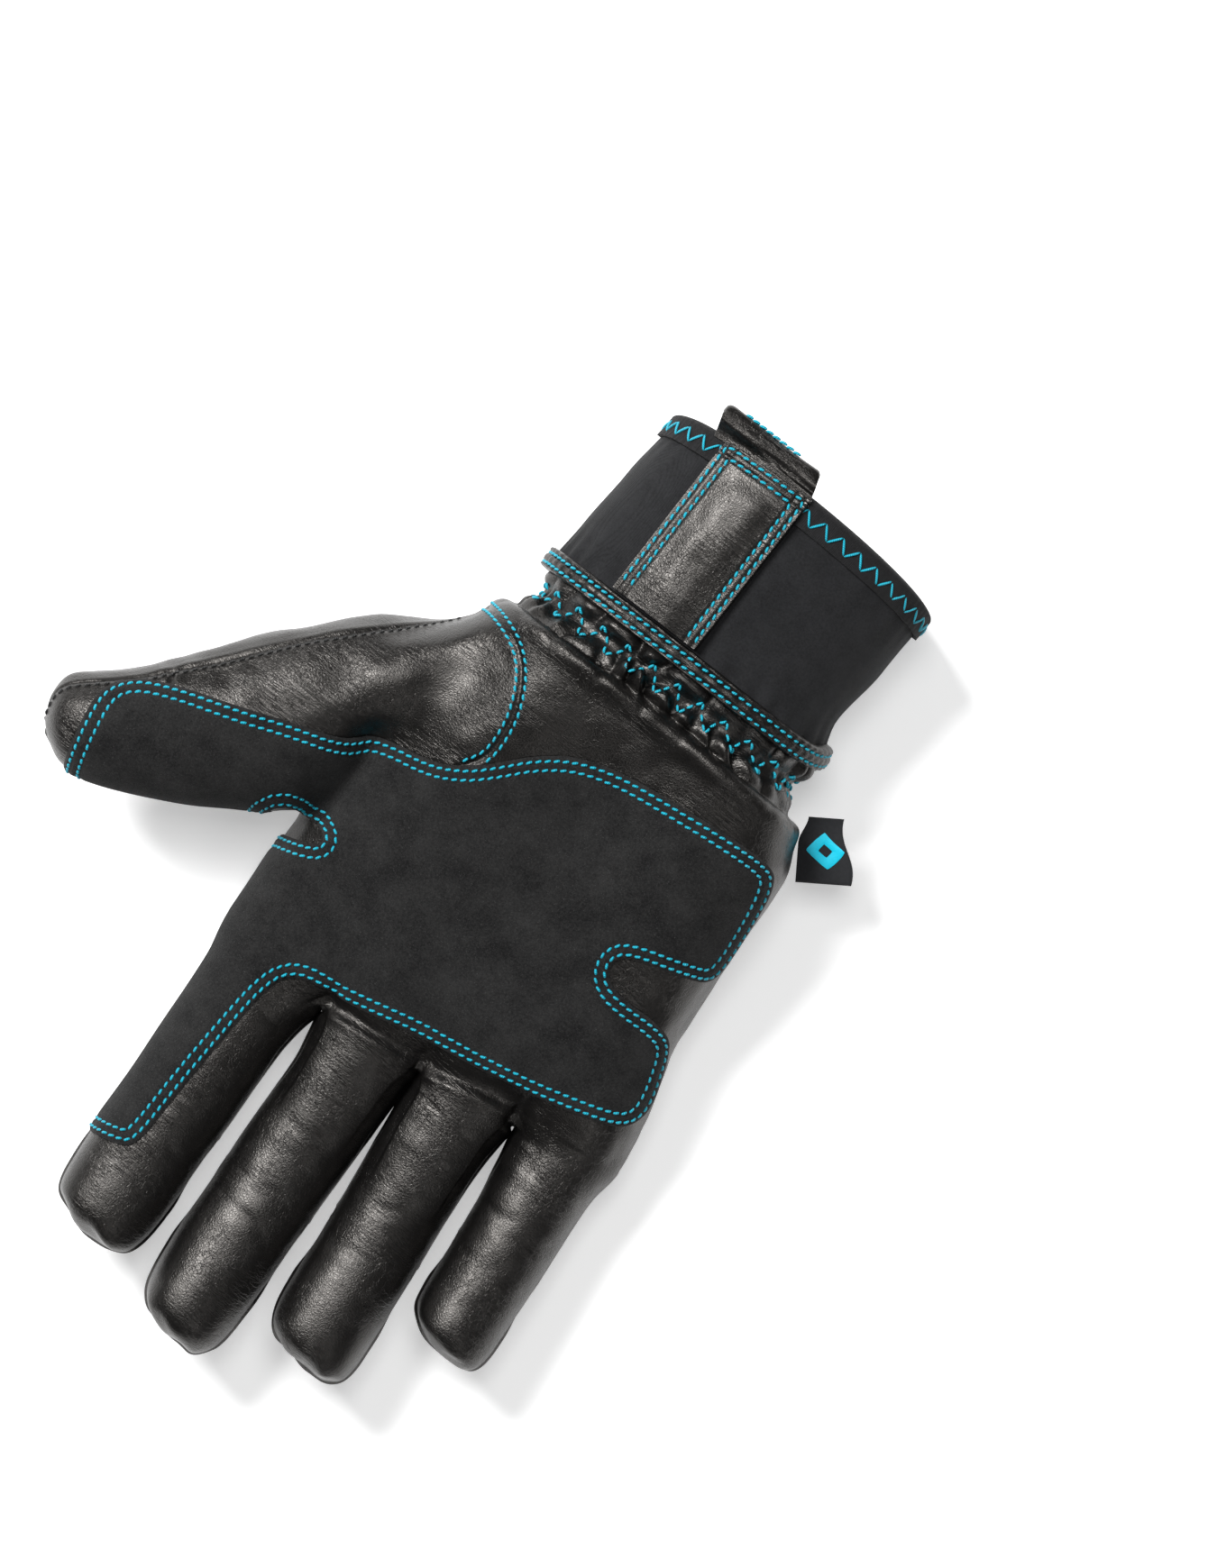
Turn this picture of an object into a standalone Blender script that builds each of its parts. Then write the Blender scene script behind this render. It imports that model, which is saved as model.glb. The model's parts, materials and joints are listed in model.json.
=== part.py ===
"""Cryogenic glove for the right hand, as a Blender 4.5 model of its separate pieces.

The glove lies on the back of the hand, palm up. +Y runs from the cuff to the fingertips, +X is the thumb
side and +Z is up, out of the palm. The origin is on the resting plane, under the middle of the back.

Every piece of the hand is cut from one skin: a coarse cage of quads whose Catmull-Clark limit surface is the
outside of the leather. A panel is a set of cage faces, given a thickness. Where a finger bends, the panels on
both sides of the joint are trimmed to a V, open on the palm side, so that the joint can close.
"""

import math

import bpy
from mathutils import Vector

MM = 0.001

# Layers, in mm, measured inwards from the skin.
LEATHER = 1.3
LAYER_GAP = 0.35
INSERT = 2.6                        # membrane, insulation and lining, laminated
PATCH = 0.9                         # suede-like grip patch, sewn on top of the leather
SEAM_GAP = 0.4                      # between neighbouring panels
JOINT_GAP = 0.5                     # between two bodies at rest

# The palm, in mm. Each station is (y, ulnar edge x, radial edge x, back z, palm z).
PALM_STATIONS = (
    (-50.0, -43.0, 47.5, 1.0, 56.0),
    (-38.0, -50.5, 52.0, 0.0, 53.0),
    (-22.0, -52.5, 53.0, 0.0, 50.0),
    (-6.0, -53.0, 54.0, 0.0, 46.5),
    (10.0, -54.5, 55.0, 0.0, 43.0),
    (26.0, -58.5, 55.5, 0.0, 40.0),
    (41.0, -62.0, 55.5, 0.5, 37.5),
)
COLUMN_SHARE = (0.0, 0.126, 0.256, 0.370, 0.479, 0.601, 0.718, 0.861, 1.0)
EDGE_DROP = (0.34, 0.07, 0.0, 0.0, 0.0, 0.0, 0.0, 0.07, 0.34)   # share of the half thickness lost
THENAR_RISE = (0.0, 0.0, 0.0, -1.0, -1.0, 0.0, 3.0, 4.5, 2.0)   # the thumb's muscle, and the hollow beside it
HYPOTHENAR_RISE = (0.5, 1.5, 1.0, 0.0, 0.0, 0.0, 0.0, 0.0, 0.0)
EDGE_INSET, EDGE_PROUD = 3.5, 1.75
KNUCKLE_X = (-64.5, -49.5, -34.0, -20.7, -7.3, 7.0, 21.0, 37.8, 54.5)
KNUCKLE_Y = (50.0, 52.5, 55.0, 57.3, 59.5, 60.7, 61.5, 61.5, 60.0)
KNUCKLE_Z, KNUCKLE_HALF, CROTCH_SHARE = 18.5, 14.5, 0.62
THUMB_ROWS = (1, 5)                 # palm stations that the thumb grows from
WRIST_BOW = (0.0, 1.6, 2.5, 2.5, 2.5, 2.5, 2.5, 1.6, 0.0)       # the wrist edge, drawn back over the gathers
INSERT_TUCK, HEM_TAPER = 4.5, 0.05   # how far the insert stops short of the wrist edge, and its taper there

# Fingers, in mm: length from the crotch line, sideways drift of the tip, half widths from base to tip, and
# the second joint's distance.
FINGERS = {
    "little": {"column": 0, "length": 61.0, "drift": -6.0, "half_widths": (12.6, 12.1, 11.6), "bend": 29.0},
    "ring": {"column": 2, "length": 81.0, "drift": -9.0, "half_widths": (12.9, 12.8, 13.2), "bend": 37.0},
    "middle": {"column": 4, "length": 91.0, "drift": -6.0, "half_widths": (13.3, 13.4, 12.6), "bend": 41.0},
    "index": {"column": 6, "length": 83.5, "drift": -4.5, "half_widths": (14.6, 13.8, 13.3), "bend": 38.0},
}
FINGER_HALF_HEIGHT = (13.2, 12.6, 11.8)
FINGER_RISE = 0.10                  # how far a tip curls up, as a share of the finger's length
KNUCKLE_REACH = 11.5                # from the crotch line to the first joint
RING_STEP = 6.0                     # cage rings on each side of a joint
TIP_RINGS = ((0.68, 1.0), (0.84, 1.0), (0.955, 0.86))           # share of length, share of size

# Thumb sections, in mm: inner point, outer point, centre z, half height.
THUMB_SECTIONS = (
    ((57.5, 27.5), (70.0, -28.0), 29.0, 21.5),
    ((61.5, 31.0), (82.6, -13.0), 31.5, 18.8),
    ((74.0, 39.0), (94.8, 2.4), 34.5, 16.5),
    ((84.2, 44.0), (103.6, 13.8), 37.0, 14.8),
    ((92.8, 48.7), (110.0, 22.0), 39.0, 13.6),
    ((101.5, 52.3), (116.5, 28.8), 40.5, 11.8),
    ((109.5, 52.8), (121.5, 34.5), 41.5, 8.6),
)
THUMB_TIP = (120.5, 46.0, 41.8)
THUMB_ROLL = 38.0                   # turns the thumb's outer seam up, into view from the palm side
THUMB_CLOSING = 40.0                # the way it closes, as an angle over the palm side from its inner side
THUMB_JOINT_RINGS = (1, 3)

# Joints. A pivot lies this far under the palm-side surface, so that the back opens as the joint closes.
PIVOT_DEPTH = {"finger": 8.0, "thumb_knuckle": 13.0, "thumb_middle": 9.0}
FLEX = {"knuckle": 70.0, "middle": 80.0, "thumb_knuckle": 40.0, "thumb_middle": 60.0}
EXTEND = 8.0
WRIST_Y, WRIST_Z = -54.0, 29.0

# Cuff, in mm. Sections are (y, centre x, half width, half height), and the axis is at WRIST_Z.
GATHER_SECTIONS = ((-48.2, 2.3, 42.0, 24.4), (-54.5, 2.3, 40.6, 23.6), (-59.2, 2.3, 41.2, 24.0))
SLEEVE_SECTIONS = ((-62.6, 3.0, 41.8, 25.2), (-75.0, 4.2, 40.2, 26.0), (-92.0, 3.0, 40.6, 27.0),
                   (-111.0, 2.0, 40.0, 27.6))
SLEEVE_RINGS = (-100.0, -92.0, -84.0, -75.0, -69.0)
SLEEVE = 2.6                        # neoprene thickness
BINDING_SPAN = (-65.4, -59.7)
BINDING = 1.6
TRIM_WIDTH, TRIM = 7.0, 0.9
ELASTIC_SPAN, ELASTIC = (-58.0, -52.0), 1.2
RING_SIDES = 28
OVAL_POWER = 2.35                   # between an ellipse, 2, and a rectangle

# Pull tab and its loop, in mm.
TAB_X, TAB_SPAN, TAB, LOOP = (2.6, 28.6), (-111.6, -65.9), 1.3, 1.2
LOOP_GAP, LOOP_REACH, LOOP_HALF, LOOP_SKEW, LOOP_SHORT = 1.5, 8.4, 2.7, 3.5, 2.2
LOOP_SIDES = 7

# Side label, in mm: the seam it is sewn into, its reach, height and thickness.
LABEL_SEAM = ((-51.7, -37.3), (-43.2, -50.0))
LABEL_REACH, LABEL_Z, LABEL, LABEL_CLEAR = 13.0, 22.0, 0.8, 0.05

# Outline of the grip patch in plan, in mm, from the thumb tip round the heel of the palm and back.
# Points beyond the hand's edge let the patch run into the side seam there.
PATCH_OUTLINE = (
    (104.5, 62.0), (110.5, 40.0), (112.0, 31.0), (108.5, 25.0), (100.0, 20.5), (85.0, 15.5), (70.0, 9.5),
    (58.0, 5.5), (50.0, -1.5), (38.0, -3.5), (30.0, -8.0), (24.0, -14.0), (18.0, -21.0), (10.0, -27.0),
    (0.0, -30.7), (-15.0, -33.0), (-30.0, -34.7), (-44.5, -35.6), (-48.5, -32.5), (-51.5, -20.0),
    (-52.8, -8.0), (-51.5, -2.4), (-45.0, 0.2), (-31.0, 4.5), (-31.0, 12.0), (-34.0, 13.2), (-48.0, 13.2),
    (-54.5, 15.5), (-58.6, 27.0), (-59.6, 34.5), (-57.0, 39.5), (-50.0, 42.6), (-30.0, 48.0), (0.0, 53.2),
    (18.0, 57.5), (28.0, 58.6), (33.0, 61.5), (35.0, 67.0), (35.8, 76.0), (36.6, 100.0), (36.6, 118.5),
    (39.0, 121.6), (62.0, 126.5), (68.0, 80.0), (62.0, 36.5), (48.5, 31.6), (46.2, 29.0), (48.5, 26.5),
    (62.0, 26.5), (64.0, 42.0),
)
# The thumb's leather meets the palm panel along an arc round the thenar muscle, in mm.
THENAR_OUTLINE = (
    (66.0, 40.0), (90.0, 45.0), (110.0, 0.0), (80.0, -45.0), (55.0, -43.0), (46.5, -42.8), (40.5, -41.0),
    (35.5, -37.5), (31.0, -32.0), (28.0, -25.0), (27.0, -18.0), (27.4, -13.0), (30.0, -8.5), (33.0, -4.0),
    (40.0, 8.0), (50.0, 20.0), (58.0, 26.0),
)
CUT_SPAN = (8.0, 80.0)              # heights that the cutting outlines reach over
PALM_PATCH_LOW = 27.0               # the palm's patch ends here, above the underside of the thumb's crotch

COLOURS = {                         # base colour, roughness
    "leather": ((0.012, 0.011, 0.011), 0.38),
    "suede": ((0.020, 0.020, 0.021), 0.92),
    "neoprene": ((0.016, 0.017, 0.019), 0.85),
    "insert": ((0.10, 0.11, 0.12), 0.95),
    "elastic": ((0.015, 0.015, 0.016), 0.8),
    "label": ((0.02, 0.02, 0.022), 0.8),
}


# ---------------------------------------------------------------- the cage

class Cage:
    """Quads whose Catmull-Clark limit surface is the outside of the leather."""

    def __init__(self):
        self.points, self.faces, self.tags, self.reach = [], [], [], []

    def point(self, x, y, z, reach=None):
        """Adds a point. reach is (digit, ring number) on a finger or the thumb."""
        self.points.append(Vector((x, y, z)))
        self.reach.append(reach)
        return len(self.points) - 1

    def quad(self, corners, tag):
        self.faces.append(tuple(corners))
        self.tags.append(tag)

    def band(self, lower, upper, tags):
        """Quads between two closed rings of the same length. tags names each one."""
        n = len(lower)
        for k in range(n):
            m = (k + 1) % n
            self.quad((lower[k], lower[m], upper[m], upper[k]), tags[k])


def palm_heights(row, column):
    """(z on the back, z on the palm side) of a palm cage point."""
    _, _, _, back, palm = PALM_STATIONS[row]
    half = (palm - back) / 2
    drop = EDGE_DROP[column] * half
    muscle = max(0.0, 1.0 - abs(row - 2) / 3.5)
    rise = (THENAR_RISE[column] + HYPOTHENAR_RISE[column]) * muscle
    return back + drop, palm - drop + rise


def palm_rows(cage):
    """The palm's rings, each {"top": 9 points, "bottom": 9 points, "ulnar": point, "radial": point or None}."""
    rows = []
    for row, (y, ulnar, radial, back, palm) in enumerate(PALM_STATIONS):
        low, high = ulnar + EDGE_INSET, radial - EDGE_INSET
        xs = [low + (high - low) * share for share in COLUMN_SHARE]
        heights = [palm_heights(row, c) for c in range(9)]
        middle = (back + palm) / 2
        in_hole = THUMB_ROWS[0] < row < THUMB_ROWS[1]
        bow = WRIST_BOW if row == 0 else (0.0,) * 9
        rows.append({
            "top": [cage.point(x, y + b, z[1]) for x, b, z in zip(xs, bow, heights)],
            "bottom": [cage.point(x, y + b, z[0]) for x, b, z in zip(xs, bow, heights)],
            "ulnar": cage.point(ulnar - EDGE_PROUD, y, middle),
            "radial": None if in_hole else cage.point(radial + EDGE_PROUD, y, middle),
        })
    return rows


def knuckle_row(cage):
    """The last palm ring, at the crotches, which also has a point between each pair of fingers."""
    top, bottom, between = [], [], {}
    for column, (x, y) in enumerate(zip(KNUCKLE_X, KNUCKLE_Y)):
        share = CROTCH_SHARE if column % 2 == 0 else 1.0
        inset = {0: EDGE_INSET, 8: -EDGE_INSET}.get(column, 0.0)
        top.append(cage.point(x + inset, y, KNUCKLE_Z + KNUCKLE_HALF * share))
        bottom.append(cage.point(x + inset, y, KNUCKLE_Z - KNUCKLE_HALF * share))
        if column in (2, 4, 6):
            between[column] = cage.point(x, y, KNUCKLE_Z)
    between[0] = cage.point(KNUCKLE_X[0] - EDGE_PROUD, KNUCKLE_Y[0], KNUCKLE_Z)
    between[8] = cage.point(KNUCKLE_X[8] + EDGE_PROUD, KNUCKLE_Y[8], KNUCKLE_Z)
    return {"top": top, "bottom": bottom, "ulnar": between[0], "radial": between[8], "between": between}


def palm_faces(cage, rows):
    """The palm's quads, leaving the hole that the thumb grows from."""
    for row, (low, high) in enumerate(zip(rows, rows[1:])):
        for c in range(8):
            cage.quad((low["top"][c], low["top"][c + 1], high["top"][c + 1], high["top"][c]), "palm_panel")
            cage.quad((low["bottom"][c], low["bottom"][c + 1], high["bottom"][c + 1], high["bottom"][c]),
                      "back_panel")
        sides = [(0, "ulnar")]
        if not THUMB_ROWS[0] <= row < THUMB_ROWS[1]:
            sides.append((8, "radial"))
        for c, side in sides:
            cage.quad((low["top"][c], low[side], high[side], high["top"][c]), "palm_panel")
            cage.quad((low["bottom"][c], low[side], high[side], high["bottom"][c]), "back_panel")


def mix(values, share):
    """Reads a list of three values at 0, 0.5 and 1, with straight lines between them."""
    first, middle, last = values
    if share < 0.5:
        return first + (middle - first) * share * 2
    return middle + (last - middle) * (share - 0.5) * 2


def finger_stations(finger):
    """Distances of a finger's cage rings from the crotch line."""
    knuckle, bend, length = KNUCKLE_REACH, finger["bend"], finger["length"]
    return [knuckle - RING_STEP, knuckle, knuckle + RING_STEP, bend - RING_STEP, bend, bend + RING_STEP] + [
        length * share for share, _ in TIP_RINGS]


def finger_centre(name, distance):
    finger = FINGERS[name]
    column, share = finger["column"] + 1, distance / finger["length"]
    return Vector((KNUCKLE_X[column] + finger["drift"] * share, KNUCKLE_Y[column] + distance,
                   KNUCKLE_Z + FINGER_RISE * finger["length"] * share * share))


def finger_ring(cage, name, number, distance, size):
    """Eight points round a finger. A cage of 8 points shrinks to 0.902 of its radius, so it starts larger."""
    finger = FINGERS[name]
    share = distance / finger["length"]
    centre = finger_centre(name, distance)
    inflate = size / ((2 + math.cos(math.pi / 4)) / 3)
    a = mix(finger["half_widths"], share) * inflate
    b = mix(FINGER_HALF_HEIGHT, share) * inflate
    return [cage.point(centre.x + a * math.cos(k * math.pi / 4), centre.y,
                       centre.z + b * math.sin(k * math.pi / 4), (name, number)) for k in range(8)]


def finger_tags(name, number):
    """The panel of each of the 8 quads beyond a ring. Angles run from the thumb side, over the palm side."""
    column = FINGERS[name]["column"]
    if number < 2:
        front, back = "palm_panel", "back_panel"
        thumb_side, little_side = f"crotch_fork_{column + 2}", f"crotch_fork_{column}"
    elif number < 5:
        front, back = f"{name}_front_base", f"{name}_back_base"
        thumb_side, little_side = f"{name}_fork_thumb_side", f"{name}_fork_little_side"
    else:
        front, back = f"{name}_front_tip", f"{name}_back_tip"
        thumb_side = little_side = None
    if column == 6:
        thumb_side = None
    if column == 0:
        little_side = None
    return [thumb_side or front, front, front, little_side or front,
            little_side or back, back, back, thumb_side or back]


def add_finger(cage, name, knuckles):
    column = FINGERS[name]["column"]
    top, bottom, between = knuckles["top"], knuckles["bottom"], knuckles["between"]
    ring = [between[column + 2], top[column + 2], top[column + 1], top[column],
            between[column], bottom[column], bottom[column + 1], bottom[column + 2]]
    sizes = [1.0] * 6 + [size for _, size in TIP_RINGS]
    for number, (distance, size) in enumerate(zip(finger_stations(FINGERS[name]), sizes)):
        following = finger_ring(cage, name, number, distance, size)
        cage.band(ring, following, finger_tags(name, number))
        ring = following
    centre = finger_centre(name, FINGERS[name]["length"])
    tip = cage.point(*centre, (name, len(sizes)))
    for k, side in ((0, "front"), (2, "front"), (4, "back"), (6, "back")):
        cage.quad((tip, ring[k], ring[k + 1], ring[(k + 2) % 8]), f"{name}_{side}_tip")


def add_thumb(cage, rows):
    """Twelve points round the thumb, which starts as the edge of the hole in the palm's thumb side."""
    first, last = THUMB_ROWS
    hole = range(last, first - 1, -1)
    ring = ([rows[last]["radial"]] + [rows[r]["top"][8] for r in hole]
            + [rows[first]["radial"]] + [rows[r]["bottom"][8] for r in reversed(hole)])
    inflate = 1 / ((2 + math.cos(math.pi / 6)) / 3)
    for number, (inner, outer, z, half_height) in enumerate(THUMB_SECTIONS):
        inner, outer = Vector((*inner, z)), Vector((*outer, z))
        centre, across = (inner + outer) / 2, (inner - outer) / 2
        following = []
        for k in range(12):
            angle = math.radians(30 * k - THUMB_ROLL)
            p = centre + across * (math.cos(angle) * inflate)
            height = z + half_height * inflate * math.sin(angle)
            following.append(cage.point(p.x, p.y, height, ("thumb", number)))
        if number <= THUMB_JOINT_RINGS[0]:
            tags = ["palm_panel"] * 6 + ["back_panel"] * 6
        else:
            part = "base" if number <= THUMB_JOINT_RINGS[1] else "tip"
            tags = [f"thumb_front_{part}"] * 6 + [f"thumb_back_{part}"] * 6
        cage.band(ring, following, tags)
        ring = following
    tip = cage.point(*THUMB_TIP, ("thumb", len(THUMB_SECTIONS)))
    for k in range(0, 12, 2):
        cage.quad((tip, ring[k], ring[k + 1], ring[(k + 2) % 12]),
                  "thumb_front_tip" if k < 6 else "thumb_back_tip")


def hand_cage():
    cage = Cage()
    rows = palm_rows(cage)
    knuckles = knuckle_row(cage)
    palm_faces(cage, rows + [knuckles])
    for name in FINGERS:
        add_finger(cage, name, knuckles)
    add_thumb(cage, rows)
    return cage


# ---------------------------------------------------------------- the skin

class Skin:
    """The cage's points moved to the limit surface, with outward faces and normals."""

    def __init__(self, cage):
        self.tags, self.reach = cage.tags, cage.reach
        self.faces = outward(cage.points, cage.faces)
        self.points = limit_points(cage.points, self.faces)
        self.normals = vertex_normals(self.points, self.faces)

    def tagged(self, *tags):
        return [face for face, tag in zip(self.faces, self.tags) if tag in tags]

    def ring(self, digit, number):
        return [self.points[i] for i, reach in enumerate(self.reach) if reach == (digit, number)]


def outward(points, faces):
    """The same faces, all wound so that they face out of the glove."""
    mesh = bpy.data.meshes.new("winding")
    mesh.from_pydata([tuple(p) for p in points], [], faces)
    holder = bpy.data.objects.new("winding", mesh)
    bpy.context.collection.objects.link(holder)
    bpy.context.view_layer.objects.active = holder
    bpy.ops.object.mode_set(mode="EDIT")
    bpy.ops.mesh.select_all(action="SELECT")
    bpy.ops.mesh.normals_make_consistent(inside=False)
    bpy.ops.object.mode_set(mode="OBJECT")
    wound = [tuple(polygon.vertices) for polygon in mesh.polygons]
    bpy.data.objects.remove(holder)
    bpy.data.meshes.remove(mesh)
    return wound


def limit_points(points, faces):
    """Where each cage point lands on the Catmull-Clark limit surface of a mesh of quads."""
    beside, across, uses = {}, {}, {}
    for face in faces:
        for k, corner in enumerate(face):
            beside.setdefault(corner, set()).update((face[k - 1], face[(k + 1) % 4]))
            across.setdefault(corner, []).append(face[(k + 2) % 4])
            edge = frozenset((corner, face[(k + 1) % 4]))
            uses[edge] = uses.get(edge, 0) + 1
    placed = []
    for i, p in enumerate(points):
        rim = [j for j in beside[i] if uses[frozenset((i, j))] == 1]
        if rim:
            placed.append((p * 4 + points[rim[0]] + points[rim[1]]) / 6)
            continue
        n = len(beside[i])
        near = sum((points[j] for j in beside[i]), Vector())
        far = sum((points[j] for j in across[i]), Vector())
        placed.append((p * n * n + near * 4 + far) / (n * (n + 5)))
    return placed


def vertex_normals(points, faces):
    normals = [Vector() for _ in points]
    for a, b, c, d in faces:
        normal = (points[c] - points[a]).cross(points[d] - points[b])
        for corner in (a, b, c, d):
            normals[corner] += normal
    return [normal.normalized() for normal in normals]


# ---------------------------------------------------------------- joints

class Joint:
    """A hinge at one cage ring of a digit. towards is the way the digit closes."""

    def __init__(self, skin, digit, number, flex):
        ring = skin.ring(digit, number)
        half = len(ring) // 2
        centre = sum(ring, Vector()) / len(ring)
        across = (ring[0] - ring[half]).normalized()
        over = (ring[half // 2] - ring[half // 2 + half]).normalized()
        self.along = over.cross(across).normalized()
        if self.along.y < 0:
            self.along.negate()
        lean = math.radians(90 - THUMB_ROLL - THUMB_CLOSING) if digit == "thumb" else 0.0
        flat = (across - self.along * across.dot(self.along)).normalized()
        up = self.along.cross(-flat).normalized()
        up = up if up.z > 0 else -up
        self.towards = (up * math.cos(lean) + flat * math.sin(lean)).normalized()
        palm_side = max((p - centre).dot(self.towards) for p in ring)
        kind = "finger" if digit != "thumb" else "thumb_knuckle" if number < 2 else "thumb_middle"
        self.pivot = centre + self.towards * (palm_side - PIVOT_DEPTH[kind])
        self.axis = self.along.cross(self.towards)
        self.flex, self.digit, self.number = flex, digit, number

    def room(self, point):
        """How far a point beside the joint must draw back for the joint to close and to open."""
        height = (point - self.pivot).dot(self.towards)
        angle = self.flex if height > 0 else EXTEND
        return JOINT_GAP / 2 + abs(height) * math.tan(math.radians(angle / 2))

    def trimmed(self, point, side, reach):
        """point drawn back from the joint. side is 1 beyond the joint and -1 before it."""
        away = (point - self.pivot).dot(self.along) * side
        fade = max(0.0, min(1.0, 1 - away / reach))
        return point + self.along * (side * fade * self.room(point))


def digit_joints(skin):
    joints = {}
    for name in FINGERS:
        joints[name] = (Joint(skin, name, 1, FLEX["knuckle"]), Joint(skin, name, 4, FLEX["middle"]))
    joints["thumb"] = (Joint(skin, "thumb", THUMB_JOINT_RINGS[0], FLEX["thumb_knuckle"]),
                       Joint(skin, "thumb", THUMB_JOINT_RINGS[1], FLEX["thumb_middle"]))
    return joints


def trims_for(joints, digit, part):
    """The (joint, side, reach) trims of one stretch of a digit: root, base or tip."""
    knuckle, bend = joints[digit]
    half = (bend.pivot - knuckle.pivot).length / 2
    if part == "root":
        return [(knuckle, -1, 11.0)]
    if part == "base":
        return [(knuckle, 1, half), (bend, -1, half)]
    return [(bend, 1, 13.0)]


# ---------------------------------------------------------------- solids

def material(kind):
    found = bpy.data.materials.get(kind)
    if found:
        return found
    colour, roughness = COLOURS[kind]
    made = bpy.data.materials.new(kind)
    made.use_nodes = True
    shader = made.node_tree.nodes["Principled BSDF"]
    shader.inputs["Base Color"].default_value = (*colour, 1.0)
    shader.inputs["Roughness"].default_value = roughness
    shader.inputs["Metallic"].default_value = 0.0
    made.diffuse_color = (*colour, 1.0)
    return made


def add_object(name, points, faces, kind, origin=Vector()):
    """One solid from points in mm. Its origin goes to origin, which is a joint's pivot on a moving piece."""
    mesh = bpy.data.meshes.new(name)
    mesh.from_pydata([tuple((p - origin) * MM) for p in points], [], faces)
    mesh.validate()
    mesh.materials.append(material(kind))
    mesh.shade_smooth()
    mesh.set_sharp_from_angle(angle=math.radians(40))
    made = bpy.data.objects.new(name, mesh)
    made.location = origin * MM
    bpy.context.collection.objects.link(made)
    return made


def seam_shift(points, normals, faces):
    """For each rim point of a panel, the way into the panel that leaves half a seam gap."""
    edges = {}
    for face in faces:
        for k, corner in enumerate(face):
            edges.setdefault(frozenset((corner, face[(k + 1) % 4])), []).append((corner, face[(k + 1) % 4]))
    rim = [used[0] for used in edges.values() if len(used) == 1]
    inward = {}
    for a, b in rim:
        along = points[b] - points[a]
        across = (normals[a] + normals[b]).cross(along).normalized()
        for corner in (a, b):
            inward.setdefault(corner, []).append(across)
    shift = {}
    for corner, ways in inward.items():
        way = sum(ways, Vector()).normalized()
        shift[corner] = way * (SEAM_GAP / 2 / max(0.4, way.dot(ways[0])))
    return rim, shift


def shell(skin, faces, outer, inner, trims=None):
    """(points, faces) of a closed shell over some skin faces, from outer to inner mm inside the skin."""
    rim, shift = seam_shift(skin.points, skin.normals, faces)
    used = sorted({corner for face in faces for corner in face})
    number = {corner: i for i, corner in enumerate(used)}
    points = []
    for depth in (outer, inner):
        for corner in used:
            p = skin.points[corner] + shift.get(corner, Vector()) - skin.normals[corner] * depth
            for joint, side, reach in (trims(corner) if trims else []):
                p = joint.trimmed(p, side, reach)
            points.append(p)
    n = len(used)
    solid = []
    for a, b, c, d in faces:
        for corners in ((a, b, c), (a, c, d)):
            solid.append(tuple(number[corner] for corner in corners))
            solid.append(tuple(number[corner] + n for corner in reversed(corners)))
    solid += [(number[b], number[a], number[a] + n, number[b] + n) for a, b in rim]
    return points, solid


def oval_point(section, angle, grow):
    """A point on a rounded oval: a superellipse round the cuff's axis."""
    y, x, half_width, half_height = section
    c, s = math.cos(angle), math.sin(angle)
    power = 2 / OVAL_POWER
    return Vector((x + (half_width + grow) * math.copysign(abs(c) ** power, c), y,
                   WRIST_Z + (half_height + grow) * math.copysign(abs(s) ** power, s)))


def section_at(sections, y):
    """The cuff section at any y, with straight lines between the given ones."""
    ordered = sorted(sections)
    if y <= ordered[0][0]:
        return (y, *ordered[0][1:])
    for low, high in zip(ordered, ordered[1:]):
        if y <= high[0]:
            share = (y - low[0]) / (high[0] - low[0])
            return (y, *(a + (b - a) * share for a, b in zip(low[1:], high[1:])))
    return (y, *ordered[-1][1:])


def sweep(profile, sections, sides=RING_SIDES):
    """A closed profile of (y, grow) points, carried round the cuff's oval."""
    points = [oval_point(section_at(sections, y), 2 * math.pi * k / sides, grow)
              for k in range(sides) for y, grow in profile]
    n = len(profile)
    faces = []
    for k in range(sides):
        for j in range(n):
            i = (j + 1) % n
            m = (k + 1) % sides
            faces.append((k * n + j, k * n + i, m * n + i, m * n + j))
    return points, faces


def band_profile(low, high, outer, inner, stations=()):
    """A tube's wall as a profile, from y low to y high."""
    ys = [low, *sorted(stations), high]
    return [(y, outer) for y in ys] + [(y, inner) for y in reversed(ys)]


# ---------------------------------------------------------------- pieces

class Hem:
    """Draws a layer back from the wrist edge, and in with the palm, which gets thinner there."""

    def trimmed(self, point, _side, _reach):
        if point.y > PALM_STATIONS[0][0] + 2 * max(WRIST_BOW):
            return point
        return point + Vector((0.0, INSERT_TUCK, -HEM_TAPER * max(0.0, point.z - WRIST_Z)))


def hand_trims(skin, joints, hem=()):
    def trims(corner):
        reach = skin.reach[corner]
        return trims_for(joints, reach[0], "root") if reach else list(hem)
    return trims


def outline_cutter(name, outline, low, high):
    """A prism over an outline in plan, which a Boolean cuts panels with."""
    n = len(outline)
    points = [Vector((x, y, z)) for z in (low, high) for x, y in outline]
    faces = [tuple(range(n)), tuple(range(2 * n - 1, n - 1, -1))]
    faces += [(k, k + n, (k + 1) % n + n, (k + 1) % n) for k in range(n)]
    cutter = add_object(name, points, faces, "suede")
    cutter.hide_render = True
    cutter.display_type = "WIRE"
    return cutter


def cut_by(made, cutter, operation):
    cut = made.modifiers.new("outline", "BOOLEAN")
    cut.operation = operation
    cut.solver = "EXACT"
    cut.object = cutter


def grown(outline, distance):
    """A clockwise outline moved outwards."""
    moved = []
    for k, (x, y) in enumerate(outline):
        (x0, y0), (x1, y1) = outline[k - 1], outline[(k + 1) % len(outline)]
        length = math.hypot(x1 - x0, y1 - y0)
        moved.append((x - (y1 - y0) / length * distance, y + (x1 - x0) / length * distance))
    return moved


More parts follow.
